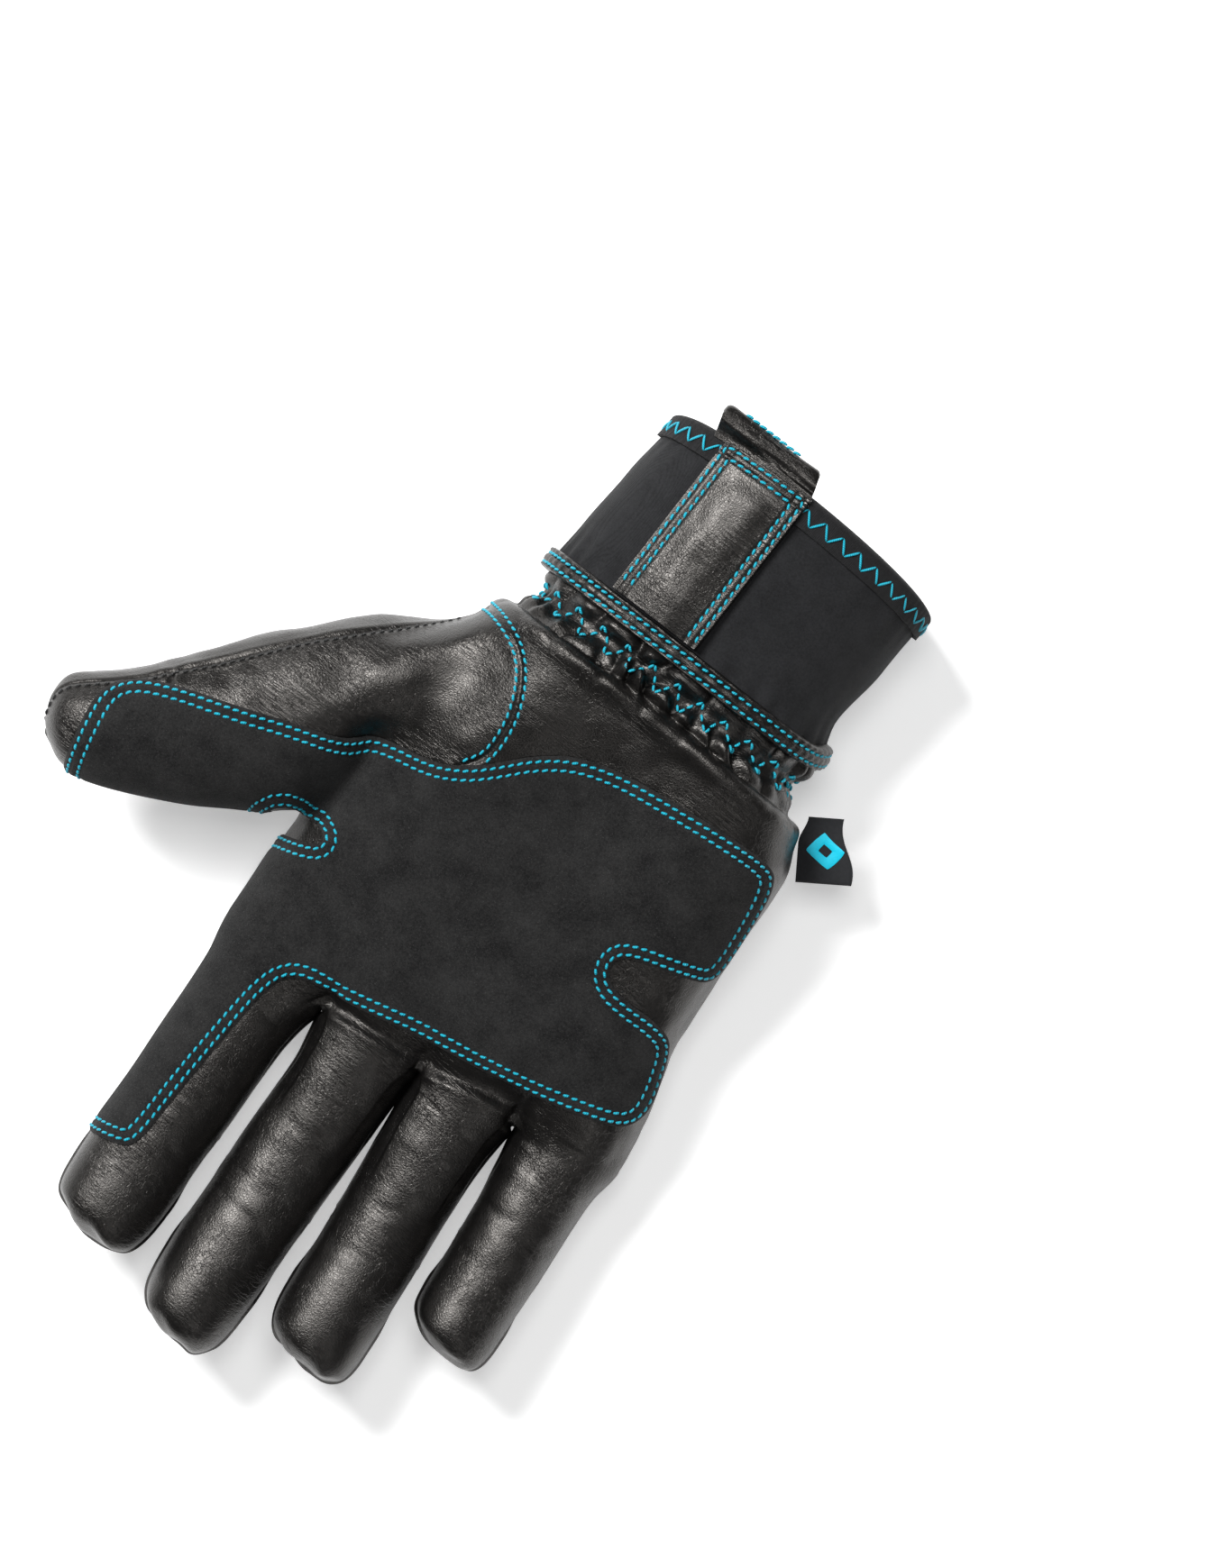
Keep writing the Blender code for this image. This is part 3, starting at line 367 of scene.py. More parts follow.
def mix(values, share):
    first, middle, last = values
    if share < 0.5:
        return first + (middle - first) * share * 2
    return middle + (last - middle) * (share - 0.5) * 2


def finger_centre(name, distance):
    finger = FINGERS[name]
    column, share = finger["column"] + 1, distance / finger["length"]
    return (KNUCKLE_X[column] + finger["drift"] * share, KNUCKLE_Y[column] + distance,
            KNUCKLE_Z + FINGER_RISE * finger["length"] * share * share)


def add_finger(cage, name, knuckles):
    """Rings of 8 points. A cage of 8 points shrinks as it smooths, so it starts larger."""
    finger = FINGERS[name]
    column, bend, length = finger["column"], finger["bend"], finger["length"]
    top, bottom, between = knuckles["top"], knuckles["bottom"], knuckles["between"]
    ring = [between[column + 2], top[column + 2], top[column + 1], top[column],
            between[column], bottom[column], bottom[column + 1], bottom[column + 2]]
    stations = [(KNUCKLE_REACH + d, 1.0) for d in (-RING_STEP, 0, RING_STEP)]
    stations += [(bend + d, 1.0) for d in (-RING_STEP, 0, RING_STEP)]
    stations += [(length * share, size) for share, size in TIP_RINGS]
    for band, (distance, size) in enumerate(stations):
        share = distance / length
        x, y, z = finger_centre(name, distance)
        inflate = size / ((2 + math.cos(math.pi / 4)) / 3)
        a, b = mix(finger["half_widths"], share) * inflate, mix(FINGER_HALF_HEIGHT, share) * inflate
        turns = [k * math.pi / 4 for k in range(8)]
        following = [cage.point(x + a * math.cos(t), y, z + b * math.sin(t)) for t in turns]
        cage.ring_band(ring, following, name, band)
        ring = following
    tip = cage.point(*finger_centre(name, length))
    for k, sector in ((0, 1), (2, 2), (4, 5), (6, 6)):
        cage.quad((tip, ring[k], ring[k + 1], ring[(k + 2) % 8]), name, sector, len(stations))


def add_thumb(cage, rows):
    first, last = THUMB_ROWS
    hole = range(last, first - 1, -1)
    ring = ([rows[last]["radial"]] + [rows[r]["top"][8] for r in hole]
            + [rows[first]["radial"]] + [rows[r]["bottom"][8] for r in reversed(hole)])
    inflate = 1 / ((2 + math.cos(math.pi / 6)) / 3)
    for band, (inner, outer, z, half_height) in enumerate(THUMB_SECTIONS):
        inner, outer = np.array(inner), np.array(outer)
        centre, across = (inner + outer) / 2, (inner - outer) / 2
        following = []
        for k in range(12):
            angle = math.radians(30 * k - THUMB_ROLL)
            x, y = centre + across * (math.cos(angle) * inflate)
            following.append(cage.point(x, y, z + half_height * inflate * math.sin(angle)))
        cage.ring_band(ring, following, "thumb", band)
        ring = following
    tip = cage.point(*THUMB_TIP)
    for k in range(0, 12, 2):
        cage.quad((tip, ring[k], ring[k + 1], ring[(k + 2) % 12]), "thumb", k, len(THUMB_SECTIONS))


def glove_cage():
    cage = Cage()
    wrist, palm, knuckles = wrist_rows(cage), palm_rows(cage), knuckle_row(cage)
    palm_faces(cage, wrist + palm + [knuckles], len(wrist))
    for name in FINGERS:
        add_finger(cage, name, knuckles)
    add_thumb(cage, palm)
    return cage


# ---------------------------------------------------------------- the skin

class Skin:
    """A fine mesh: points, quads and smaller faces cut out of quads, each with its cage face's label."""

    def __init__(self, cage, levels):
        mesh = bpy.data.meshes.new("cage")
        mesh.from_pydata(cage.points, [], cage.faces)
        mesh.attributes.new("label", "INT", "FACE").data.foreach_set("value", cage.labels)
        holder = bpy.data.objects.new("cage", mesh)
        bpy.context.collection.objects.link(holder)
        bpy.context.view_layer.objects.active = holder
        bpy.ops.object.mode_set(mode="EDIT")
        bpy.ops.mesh.select_all(action="SELECT")
        bpy.ops.mesh.normals_make_consistent(inside=False)
        bpy.ops.object.mode_set(mode="OBJECT")
        fine = holder.modifiers.new("fine", "SUBSURF")
        fine.levels = levels
        made = holder.evaluated_get(bpy.context.evaluated_depsgraph_get()).to_mesh()
        count, faces = len(made.vertices), len(made.polygons)
        self.points = read(made.vertices, "co", count * 3).reshape(-1, 3)
        self.normals = read(made.vertices, "normal", count * 3).reshape(-1, 3)
        self.quads = read(made.polygons, "vertices", faces * 4, np.int32).reshape(-1, 4)
        self.labels = read(made.attributes["label"].data, "value", faces, np.int32)
        self.triangles = np.zeros((0, 3), np.int32)
        self.triangle_labels = np.zeros(0, np.int32)
        self.fields = {}
        bpy.data.objects.remove(holder)
        bpy.data.meshes.remove(mesh)

    def parts(self):
        """The quads and the triangles: the name, the faces and the labels of each."""
        return ("quads", self.quads, self.labels), ("triangles", self.triangles, self.triangle_labels)

    def split(self, field, level, eligible):
        """Cuts the faces along the line where a field crosses a level, so that points lie right on it."""
        values = self.fields[field] - level
        faces, labels = list(self.triangles), list(self.triangle_labels)
        over = values[self.quads] > 0
        cut = over.any(axis=1) & ~over.all(axis=1) & eligible(self.labels)
        whole, kept_labels = self.quads[~cut], self.labels[~cut]
        faces += list(self.quads[cut])
        labels += list(self.labels[cut])
        made, new_points, shares = {}, [], []
        out_triangles, out_labels = [], []

        def crossing(a, b):
            key = (min(a, b), max(a, b))
            if key not in made:
                made[key] = len(self.points) + len(new_points)
                low, high = key
                share = values[low] / (values[low] - values[high])
                new_points.append(key)
                shares.append(min(0.999, max(0.001, share)))
            return made[key]

        for face, label in zip(faces, labels):
            sides = values[face] > 0
            if sides.all() or not sides.any() or not eligible(np.array([label]))[0]:
                parts = [list(face)]
            else:
                parts = [[], []]
                for k, corner in enumerate(face):
                    following = face[(k + 1) % len(face)]
                    parts[int(sides[k])].append(corner)
                    if sides[k] != sides[(k + 1) % len(face)]:
                        new = crossing(corner, following)
                        parts[0].append(new)
                        parts[1].append(new)
            for part in parts:
                for k in range(1, len(part) - 1):
                    out_triangles.append((part[0], part[k], part[k + 1]))
                    out_labels.append(label)
        if new_points:
            ends, shares = np.array(new_points), np.array(shares)[:, None]
            for name in ("points", "normals"):
                old = getattr(self, name)
                fresh = old[ends[:, 0]] * (1 - shares) + old[ends[:, 1]] * shares
                setattr(self, name, np.concatenate([old, fresh]))
            for name, old in self.fields.items():
                fresh = old[ends[:, 0]] * (1 - shares[:, 0]) + old[ends[:, 1]] * shares[:, 0]
                self.fields[name] = np.concatenate([old, fresh])
        self.quads, self.labels = whole, kept_labels
        self.triangles = np.array(out_triangles, np.int32).reshape(-1, 3)
        self.triangle_labels = np.array(out_labels, np.int32)


def read(collection, name, size, kind=np.float32):
    values = np.empty(size, kind)
    collection.foreach_get(name, values)
    return values.astype(float) if kind == np.float32 else values


def digit_of(labels):
    return labels // 400


def sector_of(labels):
    return labels // 20 % 20


def band_of(labels):
    return labels % 20


def forks_of(digit):
    """Whether a digit has a fourchette on its thumb side and on its little side."""
    column = FINGERS[digit]["column"] if digit in FINGERS else None
    return column is not None and column != 6, column is not None and column != 0


def panel_of(labels):
    """0 on the palm side, 1 on the back, 2 on a fourchette. Fourchettes end before the fingertips."""
    digit, sector = digit_of(labels), sector_of(labels)
    digit_backs = np.where(digit == THUMB, sector >= 6, sector >= 4)
    panel = np.where(digit == 0, sector == BACK_SIDE, digit_backs).astype(int)
    before_tip = band_of(labels) <= LAST_FORK_BAND
    for number, name in enumerate(DIGITS):
        for has_fork, sectors in zip(forks_of(name), ((0, 7), (3, 4))):
            if has_fork:
                panel[(digit == number) & before_tip & np.isin(sector, sectors)] = 2
    return panel


def palm_side(labels):
    """Faces that the grip patch and the palm's seams may cross."""
    return panel_of(labels) == 0


def hand_palm(labels):
    return palm_side(labels) & (digit_of(labels) == 0)


def thumb_edge(labels):
    """Faces along the seam on the thumb's outer side."""
    return (digit_of(labels) == THUMB) & np.isin(sector_of(labels), (4, 5))


def fork_upper(labels):
    """Faces of the fourchettes' palm-side half, which their seam with the finger's front crosses."""
    return (panel_of(labels) == 2) & np.isin(sector_of(labels), (0, 3))


def final_panels(skin, labels, faces):
    """0 front, 1 back, 2 thumb-side fourchette, 3 little-side fourchette."""
    panel, sector = panel_of(labels), sector_of(labels)
    if not len(faces):
        return panel
    front = fork_upper(labels) & (skin.fields["fork"][faces].mean(axis=1) > 0)
    panel = np.where((panel == 2) & np.isin(sector, (3, 4)), 3, panel)
    return np.where(front, 0, panel)


def each_finger(own_digit):
    """For each finger: its number, its name, its sizes and which points are its own."""
    for number, (name, finger) in enumerate(FINGERS.items(), 1):
        yield number, name, finger, own_digit == number


def finger_heights(points, own_digit):
    """Each point's height over its finger's middle, as a share of the half height, and its share along it."""
    height, along = np.zeros(len(points)), np.zeros(len(points))
    for _, _, finger, here in each_finger(own_digit):
        share = np.clip((points[here, 1] - KNUCKLE_Y[finger["column"] + 1]) / finger["length"], 0, 1)
        middle = KNUCKLE_Z + FINGER_RISE * finger["length"] * share * share
        half = np.interp(share, (0.0, 0.5, 1.0), FINGER_HALF_HEIGHT)
        height[here], along[here] = (points[here, 2] - middle) / half, share
    return height, along


# ---------------------------------------------------------------- joints

class Digit:
    """A digit's two hinges, and where along it the leather bends with them."""

    def __init__(self, name, points, labels, faces):
        self.name = name
        knuckle, bend = JOINTS[f"{name}_knuckle"], JOINTS[f"{name}_bend"]
        self.knuckle, self.bend = (np.array(j["pos_m"]) / MM for j in (knuckle, bend))
        between = self.bend - self.knuckle
        self.gap = np.linalg.norm(between)
        self.ways = [np.array((0.0, 1.0, 0.0))] * 2
        start = -10.6
        if name == "thumb":
            axes = [np.array(joint["axis"]) for joint in (knuckle, bend)]
            ways = [between - axis * (between @ axis) for axis in axes]
            self.ways = [way / np.linalg.norm(way) for way in ways]
            own, others = (np.unique(faces[digit_of(labels) == number]) for number in (THUMB, 0))
            edge = points[np.intersect1d(own, others)]
            start = float(((edge - self.knuckle) @ self.ways[0]).max()) + 0.4
        # How far along the digit the bending starts and ends, from each hinge.
        self.knuckle_span = (start, 0.42 * self.gap)
        self.bend_span = (-0.55 * self.gap, 12.0)

    def stretch(self, points):
        """0 on the hand's side of the knuckle, 1 between the joints, 2 beyond the second one."""
        along = (points - self.knuckle) @ self.ways[0]
        middle = self.knuckle_span[1] * 0.5 + (self.gap + self.bend_span[0]) * 0.5
        return (along > self.knuckle_span[0] - 0.3).astype(int) + (along > middle)

    def bend_piece(self, piece, stretch):
        """Bakes a piece's transform into its mesh."""
        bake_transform(piece)


def follow(piece, digit, stretch):
    """Ties a piece on the hand to the hand's body. A piece on a digit or on the wrist only has its transform
    baked into its mesh.
    """
    if stretch in (1, 2):
        digit.bend_piece(piece, stretch)
    elif stretch == 3:
        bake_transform(piece)
    else:
        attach(piece, "hand")


def stretches(points, digits, all_digits):
    """The stretch of each point: 0 hand, 1 base, 2 tip, 3 wrist."""
    found = np.where((digits == 0) & (points[:, 1] < WRIST_CUT), 3, 0)
    for number, name in enumerate(DIGITS[1:], 1):
        found[digits == number] = all_digits[name].stretch(points[digits == number])
    return found


# ---------------------------------------------------------------- shaping the leather

def seam_points(skin):
    """Points on the seams between panels, and whether each is a seam of a fourchette's palm side."""
    groups, edges = [], []
    for _, faces, labels in skin.parts():
        panels, digits = final_panels(skin, labels, faces), digit_of(labels)
        group = panels + 4 * np.where(panels >= 2, digits, 0)
        edges.append(np.stack([faces.reshape(-1), np.roll(faces, -1, axis=1).reshape(-1)], axis=1))
        groups.append(np.repeat(group, faces.shape[1]))
    ends, owner = np.concatenate(edges), np.concatenate(groups)
    key = ends.min(axis=1).astype(np.int64) * len(skin.points) + ends.max(axis=1)
    order = np.argsort(key, kind="stable")
    key, owner, ends = key[order], owner[order], ends[order]
    low, high = np.minimum(owner[1:], owner[:-1]), np.maximum(owner[1:], owner[:-1])
    pair = (key[1:] == key[:-1]) & (low != high)
    soft = pair & (low % 4 == 0) & (high % 4 >= 2)
    return [np.unique(ends[1:][kept].reshape(-1)) for kept in (pair & ~soft, soft)]


def nearest_distance(points, targets, limit=6.0):
    tree = KDTree(len(targets))
    for i, p in enumerate(targets):
        tree.insert(p, i)
    tree.balance()
    return np.array([min(limit, tree.find(p)[2]) for p in points])


def groove(distance, depth, width):
    """A sewn seam: a narrow valley between two slightly padded edges."""
    return -depth * bump(distance, width) + 0.28 * depth * bump(distance - 2.4 * width, 1.3 * width)


def pleats(points, seed, low, high):
    """Puckers round the wrist: rounded ridges with sharp valleys between them, 0 to about 1.5."""
    rng = np.random.default_rng(seed)
    angle = oval_angles(points[:, 0], points[:, 2], WRIST_X) + 0.03 * ripples(points, 9.0, seed + 1)
    total = np.zeros(len(points))
    waves = range(low, high)
    for k in waves:
        total += rng.uniform(0.5, 1.0) * np.sin(k * angle + rng.uniform(0, 2 * math.pi))
    return np.abs(total) / math.sqrt(len(waves) / 3.2)


def binding_dip(x, z):
    """How far the binding slants towards the cuff, which it does at the little finger's side."""
    angle = oval_angles(x, z, BINDING_X) % (2 * math.pi)
    return -3.2 * bump(angle - math.pi, 0.42) * (0.6 + 0.4 * smooth((np.sin(angle) + 0.5) / 0.5))


def wrist_puckers(points):
    """The gathered leather: a smooth ledge of the hand, puckers, the zigzag's pinch and plump lobes."""
    y = points[:, 1]
    ledge = 0.9 * bump(y - LEDGE_Y, 2.6) - 1.9 * bump(y - LEDGE_FOOT_Y, 1.5)
    lower, pinch, upper = bump(y - HAND_LOBES_Y, 1.9), bump(y - PINCH_Y, 2.6), bump(y - CUFF_LOBES_Y, 2.1)
    small, large = pleats(points, 11, 12, 28), pleats(points, 12, 7, 16)
    lower = lower * (1 - 0.6 * smooth((np.abs(points[:, 0] - WRIST_X) - 30) / 9))
    move = 2.4 * lower * (small - 0.6) + 2.0 * upper * (large - 0.35) + 0.6 * pinch * (small - 0.8)
    return ledge + move + 0.45 * bump(y - UNDER_LEDGE_Y, 1.6) * (large - 0.5)


def finger_creases(points, normals, own_digit):
    """Soft folds across the palm side of the fingers."""
    total = np.zeros(len(points))
    for _, name, finger, here in each_finger(own_digit):
        p, upward = points[here], np.clip(normals[here, 2], 0, 1)
        along = p[:, 1] - KNUCKLE_Y[finger["column"] + 1]
        made = np.zeros(len(p))
        for k, at in enumerate(CREASES[name]):
            tilt = 0.10 * ((k % 3) - 1)
            away = along - at - tilt * (p[:, 0] - p[:, 0].mean()) + 0.9 * ripples(p, 13.0, 40 + k)
            fades = np.clip(0.55 + 0.5 * ripples(p, 9.0, 60 + k), 0, 1)
            made -= (0.20 * bump(away, 1.1) + 0.08 * bump(away - 2.1, 1.0)) * fades
            made += 0.10 * bump(away - 4.0, 3.0) + 0.10 * bump(away + 4.0, 3.0)
        total[here] += made * smooth(upward * 1.3)
    return total


CONTACTS = ((0, 1.9, 22.0), (1, 1.3, 46.0), (2, 1.4, 16.0))      # crotch, bulge, reach along the fingers


def side_bulges(points, normals, own_digit):
    """Next to each other's bases the padded fingers press together."""
    total = np.zeros(len(points))
    fingers = (own_digit > 0) & (own_digit < THUMB)
    for crotch, rise, reach in CONTACTS:
        x, y = CROTCHES[crotch]
        past = points[:, 1] - y
        beside = smooth((11.0 - np.abs(points[:, 0] - x + 0.06 * past)) / 3.0) * fingers
        fades = (1 - smooth(past / reach)) * smooth((past + 1.0) / 4.0)
        total += rise * beside * fades * normals[:, 0] ** 2
    return total


def inset_steps(skin):
    """The raised fronts of the middle and ring fingers, and the dark gaps between the fingers' bases."""
    away = np.minimum(skin.fields["inset_ring"], skin.fields["inset_middle"])
    raised = 2.0 * smooth((-away - 0.1) / 2.2) * np.exp(-np.clip(-away, 0, None) / 15.0)
    trench = 0.55 * bump(away - 0.8, 2.4)
    near = smooth((skin.points[:, 1] - 44) / 5) * smooth((92 - skin.points[:, 1]) / 20)
    plan = skin.points[:, :2]
    gaps = sum(bump(line_distance(plan, ((x + 0.4, y - 6.0), (x, y + 2.0))), 2.2) for x, y in CROTCHES)
    return ((raised - trench) * near - 1.1 * gaps) * skin.fields["palm"]


def shift_tips(points, own_digit, along):
    """How each point moves so that the fingertips slant, with the corner on the thumb's side cut away."""
    moves = np.zeros_like(points)
    for number, name, finger, here in each_finger(own_digit):
        share = along[here]
        centre = KNUCKLE_X[finger["column"] + 1] + finger["drift"] * share
        off = points[here, 0] - centre
        grow = 1.5 if name == "middle" else 0.2
        wobble = 0.45 * ripples(points[here], 9.0, 90 + number)
        moves[here, 1] = smooth((share - 0.80) / 0.2) * (grow - 0.12 * off + wobble)
    here = own_digit == THUMB
    far = (points[here] - THUMB_SLANT_START) @ THUMB_WAY
    moves[here] = THUMB_WAY * (2.6 * smooth(far / 17.0))[:, None]
    return moves


def shape_skin(skin):
    """Moves the skin's points: seams, creases, puckers and the padding's slight unevenness."""
    points, normals = skin.points, skin.normals
    plan = points[:, :2]
    own_digit = skin.fields["digit"].round().astype(int)
    patch, thenar, palm = skin.fields["patch"], skin.fields["thenar"], skin.fields["palm"]
    height, along = finger_heights(points, own_digit)
    bare = smooth((patch + 1.0) / 2.0) * palm + (1 - palm)
    hard, soft = (nearest_distance(points, points[kept]) for kept in seam_points(skin))
    far_thumb = (points - THUMB_WELT_START) @ THUMB_WAY
    tip = np.where(own_digit == THUMB, smooth(far_thumb / 8), smooth((along - 0.66) / 0.12) * (own_digit > 0))
    beyond_wrist = smooth((points[:, 1] + 47.5) / 2)
    move = groove(hard, 0.60, 0.75) * (1 - tip) * beyond_wrist + groove(soft, 0.30, 0.7)
    back_side = np.where(own_digit == THUMB, points[:, 2] < 40.5, height < 0)
    welt = np.where(back_side, 0.85 * bump(hard - 0.95, 0.75), 0.10 * bump(hard - 1.2, 0.8))
    move += tip * (welt - 0.30 * bump(hard, 0.4))
    move += groove(np.abs(thenar), 0.6, 0.7) * bare * palm
    move += inset_steps(skin)
    move += finger_creases(points, normals, own_digit) * bare
    move += side_bulges(points, normals, own_digit)
    move += wrist_puckers(points)
    for x, y, rise, radius in THUMB_DENTS:
        move += rise * bump(np.hypot(plan[:, 0] - x, plan[:, 1] - y), radius) * palm
    move -= 1.5 * bump(line_distance(plan, THUMB_FOLD), 3.0) * palm * smooth((points[:, 2] - 30) / 5)
    inland = smooth((points[:, 1] + 46) / 10)
    calm = np.where((own_digit > 0) & (own_digit < THUMB), 0.4, 1.0)
    move += (0.30 * ripples(points, 26.0, 3) + 0.07 * ripples(points, 8.0, 4) * bare) * inland * calm
    skin.fields["hard"] = hard
    skin.points = points + normals * move[:, None] + shift_tips(points, own_digit, along)
    skin.points[:, 1] += binding_dip(points[:, 0], points[:, 2]) * smooth((-56.5 - points[:, 1]) / 5.5)


def surface_normals(points, quads, triangles):
    """Smooth normals of a mesh, weighted by face area."""
    normals = np.zeros_like(points)
    a, b, c, d = (points[quads[:, k]] for k in range(4))
    first, second, third = (points[triangles[:, k]] for k in range(3))
    quad_ways, triangle_ways = np.cross(c - a, d - b), np.cross(second - first, third - first)
    for faces, ways in ((quads, quad_ways), (triangles, triangle_ways)):
        for corner in faces.T:
            np.add.at(normals, corner, ways)
    lengths = np.linalg.norm(normals, axis=1)
    return normals / np.maximum(lengths, 1e-9)[:, None]


# ---------------------------------------------------------------- pieces

def rim_edges(quads, triangles):
    """Directed edges that only one face uses."""
    starts = np.concatenate([faces.reshape(-1) for faces in (quads, triangles)])
    ends = np.concatenate([np.roll(faces, -1, axis=1).reshape(-1) for faces in (quads, triangles)])
    key = np.minimum(starts, ends).astype(np.int64) * (1 << 31) + np.maximum(starts, ends)
    _, index, count = np.unique(key, return_inverse=True, return_counts=True)
    alone = count[index] == 1
    return np.stack([starts[alone], ends[alone]], axis=1)


def make_mesh(name, points, faces, finish, rest=None, normals=None, smooth_angle=None):
    """A mesh object from points in mm. rest, the points' places at rest, is where its textures are read."""
    mesh = bpy.data.meshes.new(name)
    mesh.from_pydata((np.asarray(points) * MM).tolist(), [], faces)
    mesh.materials.append(finish)
    mesh.shade_smooth()
    rest = np.asarray(points if rest is None else rest, np.float32)
    mesh.attributes.new("rest", "FLOAT_VECTOR", "POINT").data.foreach_set("vector", rest.reshape(-1))
    if smooth_angle:
        mesh.set_sharp_from_angle(angle=math.radians(smooth_angle))
    if normals is not None:
        mesh.normals_split_custom_set_from_vertices(normals.tolist())
    piece = bpy.data.objects.new(name, mesh)
    bpy.context.collection.objects.link(piece)
    return piece


def closed_mesh(name, points, faces, finish, smooth_angle):
    """A mesh object of a closed surface, with its faces turned outwards."""
    points = np.array(points)
    if signed_volume(points, faces) < 0:
        faces = [face[::-1] for face in faces]
    return make_mesh(name, points, faces, finish, smooth_angle=smooth_angle)


def signed_volume(points, faces):
    """Six times the volume inside, below 0 where the faces point inwards."""
    total = 0.0
    for face in faces:
        a = points[face[0]]
        for k in range(1, len(face) - 1):
            total += float(np.dot(a, np.cross(points[face[k]], points[face[k + 1]])))
    return total


def layer_piece(name, layer, quad_mask, triangle_mask, finish):
    """A closed piece of one layer: its outer side, its inner side and the edge between them."""
    quads, triangles = layer["quads"][quad_mask], layer["triangles"][triangle_mask]
    used = np.unique(np.concatenate([quads.reshape(-1), triangles.reshape(-1)]))
    number = np.zeros(len(layer["outer"]), np.int64)
    number[used] = np.arange(len(used))
    quads, triangles, n = number[quads], number[triangles], len(used)
    rim = rim_edges(quads, triangles)
    faces = quads.tolist() + triangles.tolist()
    faces += (quads[:, ::-1] + n).tolist() + (triangles[:, ::-1] + n).tolist()
    faces += np.concatenate([rim[:, ::-1], rim + n], axis=1).tolist()
    points = np.concatenate([layer["outer"][used], layer["inner"][used]])
    normals = np.concatenate([layer["normals"][used], -layer["normals"][used]])
    rest = layer["rest"][np.concatenate([used, used])]
    return make_mesh(name, points, faces, finish, rest=rest, normals=normals)


def cut_layer(layer, node_of, suffix, finish, digits):
    """Cuts a layer into one piece for each CAD node. node_of names the node of (digit, stretch, panel)."""
    keys = []
    for kind, labels, extra in zip(("quads", "triangles"), layer["labels"], layer["extra"]):
        middle, digit = layer["rest"][layer[kind]].mean(axis=1), digit_of(labels)
        keys.append((digit * 10 + stretches(middle, digit, digits)) * 10 + extra)
    groups = {}
    for key in np.unique(np.concatenate(keys)):
        digit, stretch, panel = DIGITS[key // 100], key // 10 % 10, key % 10
        groups.setdefault(node_of(digit, stretch, panel), []).append(key)
    for node, members in groups.items():
        if node is None:
            continue
        digit, stretch = DIGITS[members[0] // 100], members[0] // 10 % 10
        masks = [np.isin(key, members) for key in keys]
        piece = layer_piece(f"{node}_{suffix}", layer, masks[0], masks[1], finish)
        follow(piece, digits.get(digit), stretch)
        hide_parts(node)


def leather_node(digit, stretch, panel):
    """CAD node of a stretch of leather. Panels: 0 palm, 1 back, 2 thumb-side fork, 3 other fork, 4 thenar."""
    if stretch == 3:
        return "wrist_gather"
    if stretch == 0:
        if panel in (2, 3):
            other = DIGITS[DIGITS.index(digit) + (1 if panel == 2 else -1)]
            first, second = sorted((digit, other), key=DIGITS.index)
            return f"crotch_fork_{first}_{second}"
        return {0: "palm_panel", 1: "back_panel", 4: "thenar_panel"}[panel]
    part = "base" if stretch == 1 else "tip"
    if panel in (2, 3) and part == "base":
        return f"{digit}_fork_{'thumb' if panel == 2 else 'little'}_side"
    return f"{digit}_{'back' if panel == 1 else 'front'}_{part}"


def skin_layer(skin, normals, rest, outer, inner):
    """A layer of the whole skin between two depths under it."""
    return {"outer": skin.points - normals * outer, "inner": skin.points - normals * inner,
            "normals": normals, "rest": rest, "quads": skin.quads, "triangles": skin.triangles,
            "labels": [skin.labels, skin.triangle_labels],
            "extra": [np.zeros(len(faces), int) for _, faces, _ in skin.parts()]}


def leather_layer(skin, normals):
    """The leather, with each face's panel as its extra number."""
    layer = skin_layer(skin, normals, skin.rest, 0.0, LEATHER)
    layer["extra"] = []
    for _, faces, labels in skin.parts():
        extra, sector, digit = final_panels(skin, labels, faces), sector_of(labels), digit_of(labels)
        if len(faces):
            stretch = stretches(skin.rest[faces].mean(axis=1), digit, skin.digits)
            tip = (stretch == 2) & (extra >= 2)
            extra[tip] = np.where(sector[tip] >= 4, 1, 0)
            on_thenar = skin.fields["thenar"][faces].mean(axis=1) < 0
            extra[(extra == 0) & (stretch == 0) & on_thenar & np.isin(digit, (0, THUMB))] = 4
        layer["extra"].append(extra)
    return layer


def patch_layer(skin, normals):
    """The grip patch: a layer on top of the leather, with its edge turned down."""
    depth = -skin.fields["patch"]
    edge = smooth(depth / 0.9)
    base = skin.points + normals * 0.12
    sewn = sum(bump(depth + row, 0.5) for row in PATCH_ROWS)
    outer = base + normals * (0.25 + (PATCH - 0.25) * edge - 0.28 * sewn)[:, None]
    layer = {"outer": outer, "inner": base, "rest": skin.rest, "labels": [], "extra": []}
    for kind, faces, labels in skin.parts():
        inside = (skin.fields["patch"][faces].mean(axis=1) < 0) & palm_side(labels)
        layer[kind] = faces[inside]
        layer["labels"].append(labels[inside])
        layer["extra"].append(np.zeros(inside.sum(), int))
    layer["normals"] = surface_normals(outer, layer["quads"], layer["triangles"])
    return layer


def patch_node(digit, stretch, _panel):
    """CAD node of a stretch of the grip patch."""
    if stretch in (0, 3):
        return "palm_patch"
    if digit not in ("index", "thumb"):
        return None
    return f"{digit}_patch_{'base' if stretch == 1 else 'tip'}"


def insert_node(digit, stretch, _panel):
    """CAD node of a stretch of the thermal insert."""
    if stretch == 3:
        return "wrist_insert"
    return "hand_insert" if stretch == 0 else f"{digit}_insert_{'base' if stretch == 1 else 'tip'}"


def insert_layer(skin):
    """The thermal insert, well inside the leather."""
    wrist = smooth((WRIST_CUT - skin.points[:, 1]) / 5)[:, None]
    depths = (d + (w - d) * wrist for d, w in zip(INSERT_DEPTHS, WRIST_INSERT_DEPTHS))
    return skin_layer(skin, skin.normals, skin.points, *depths)


# ---------------------------------------------------------------- stitches

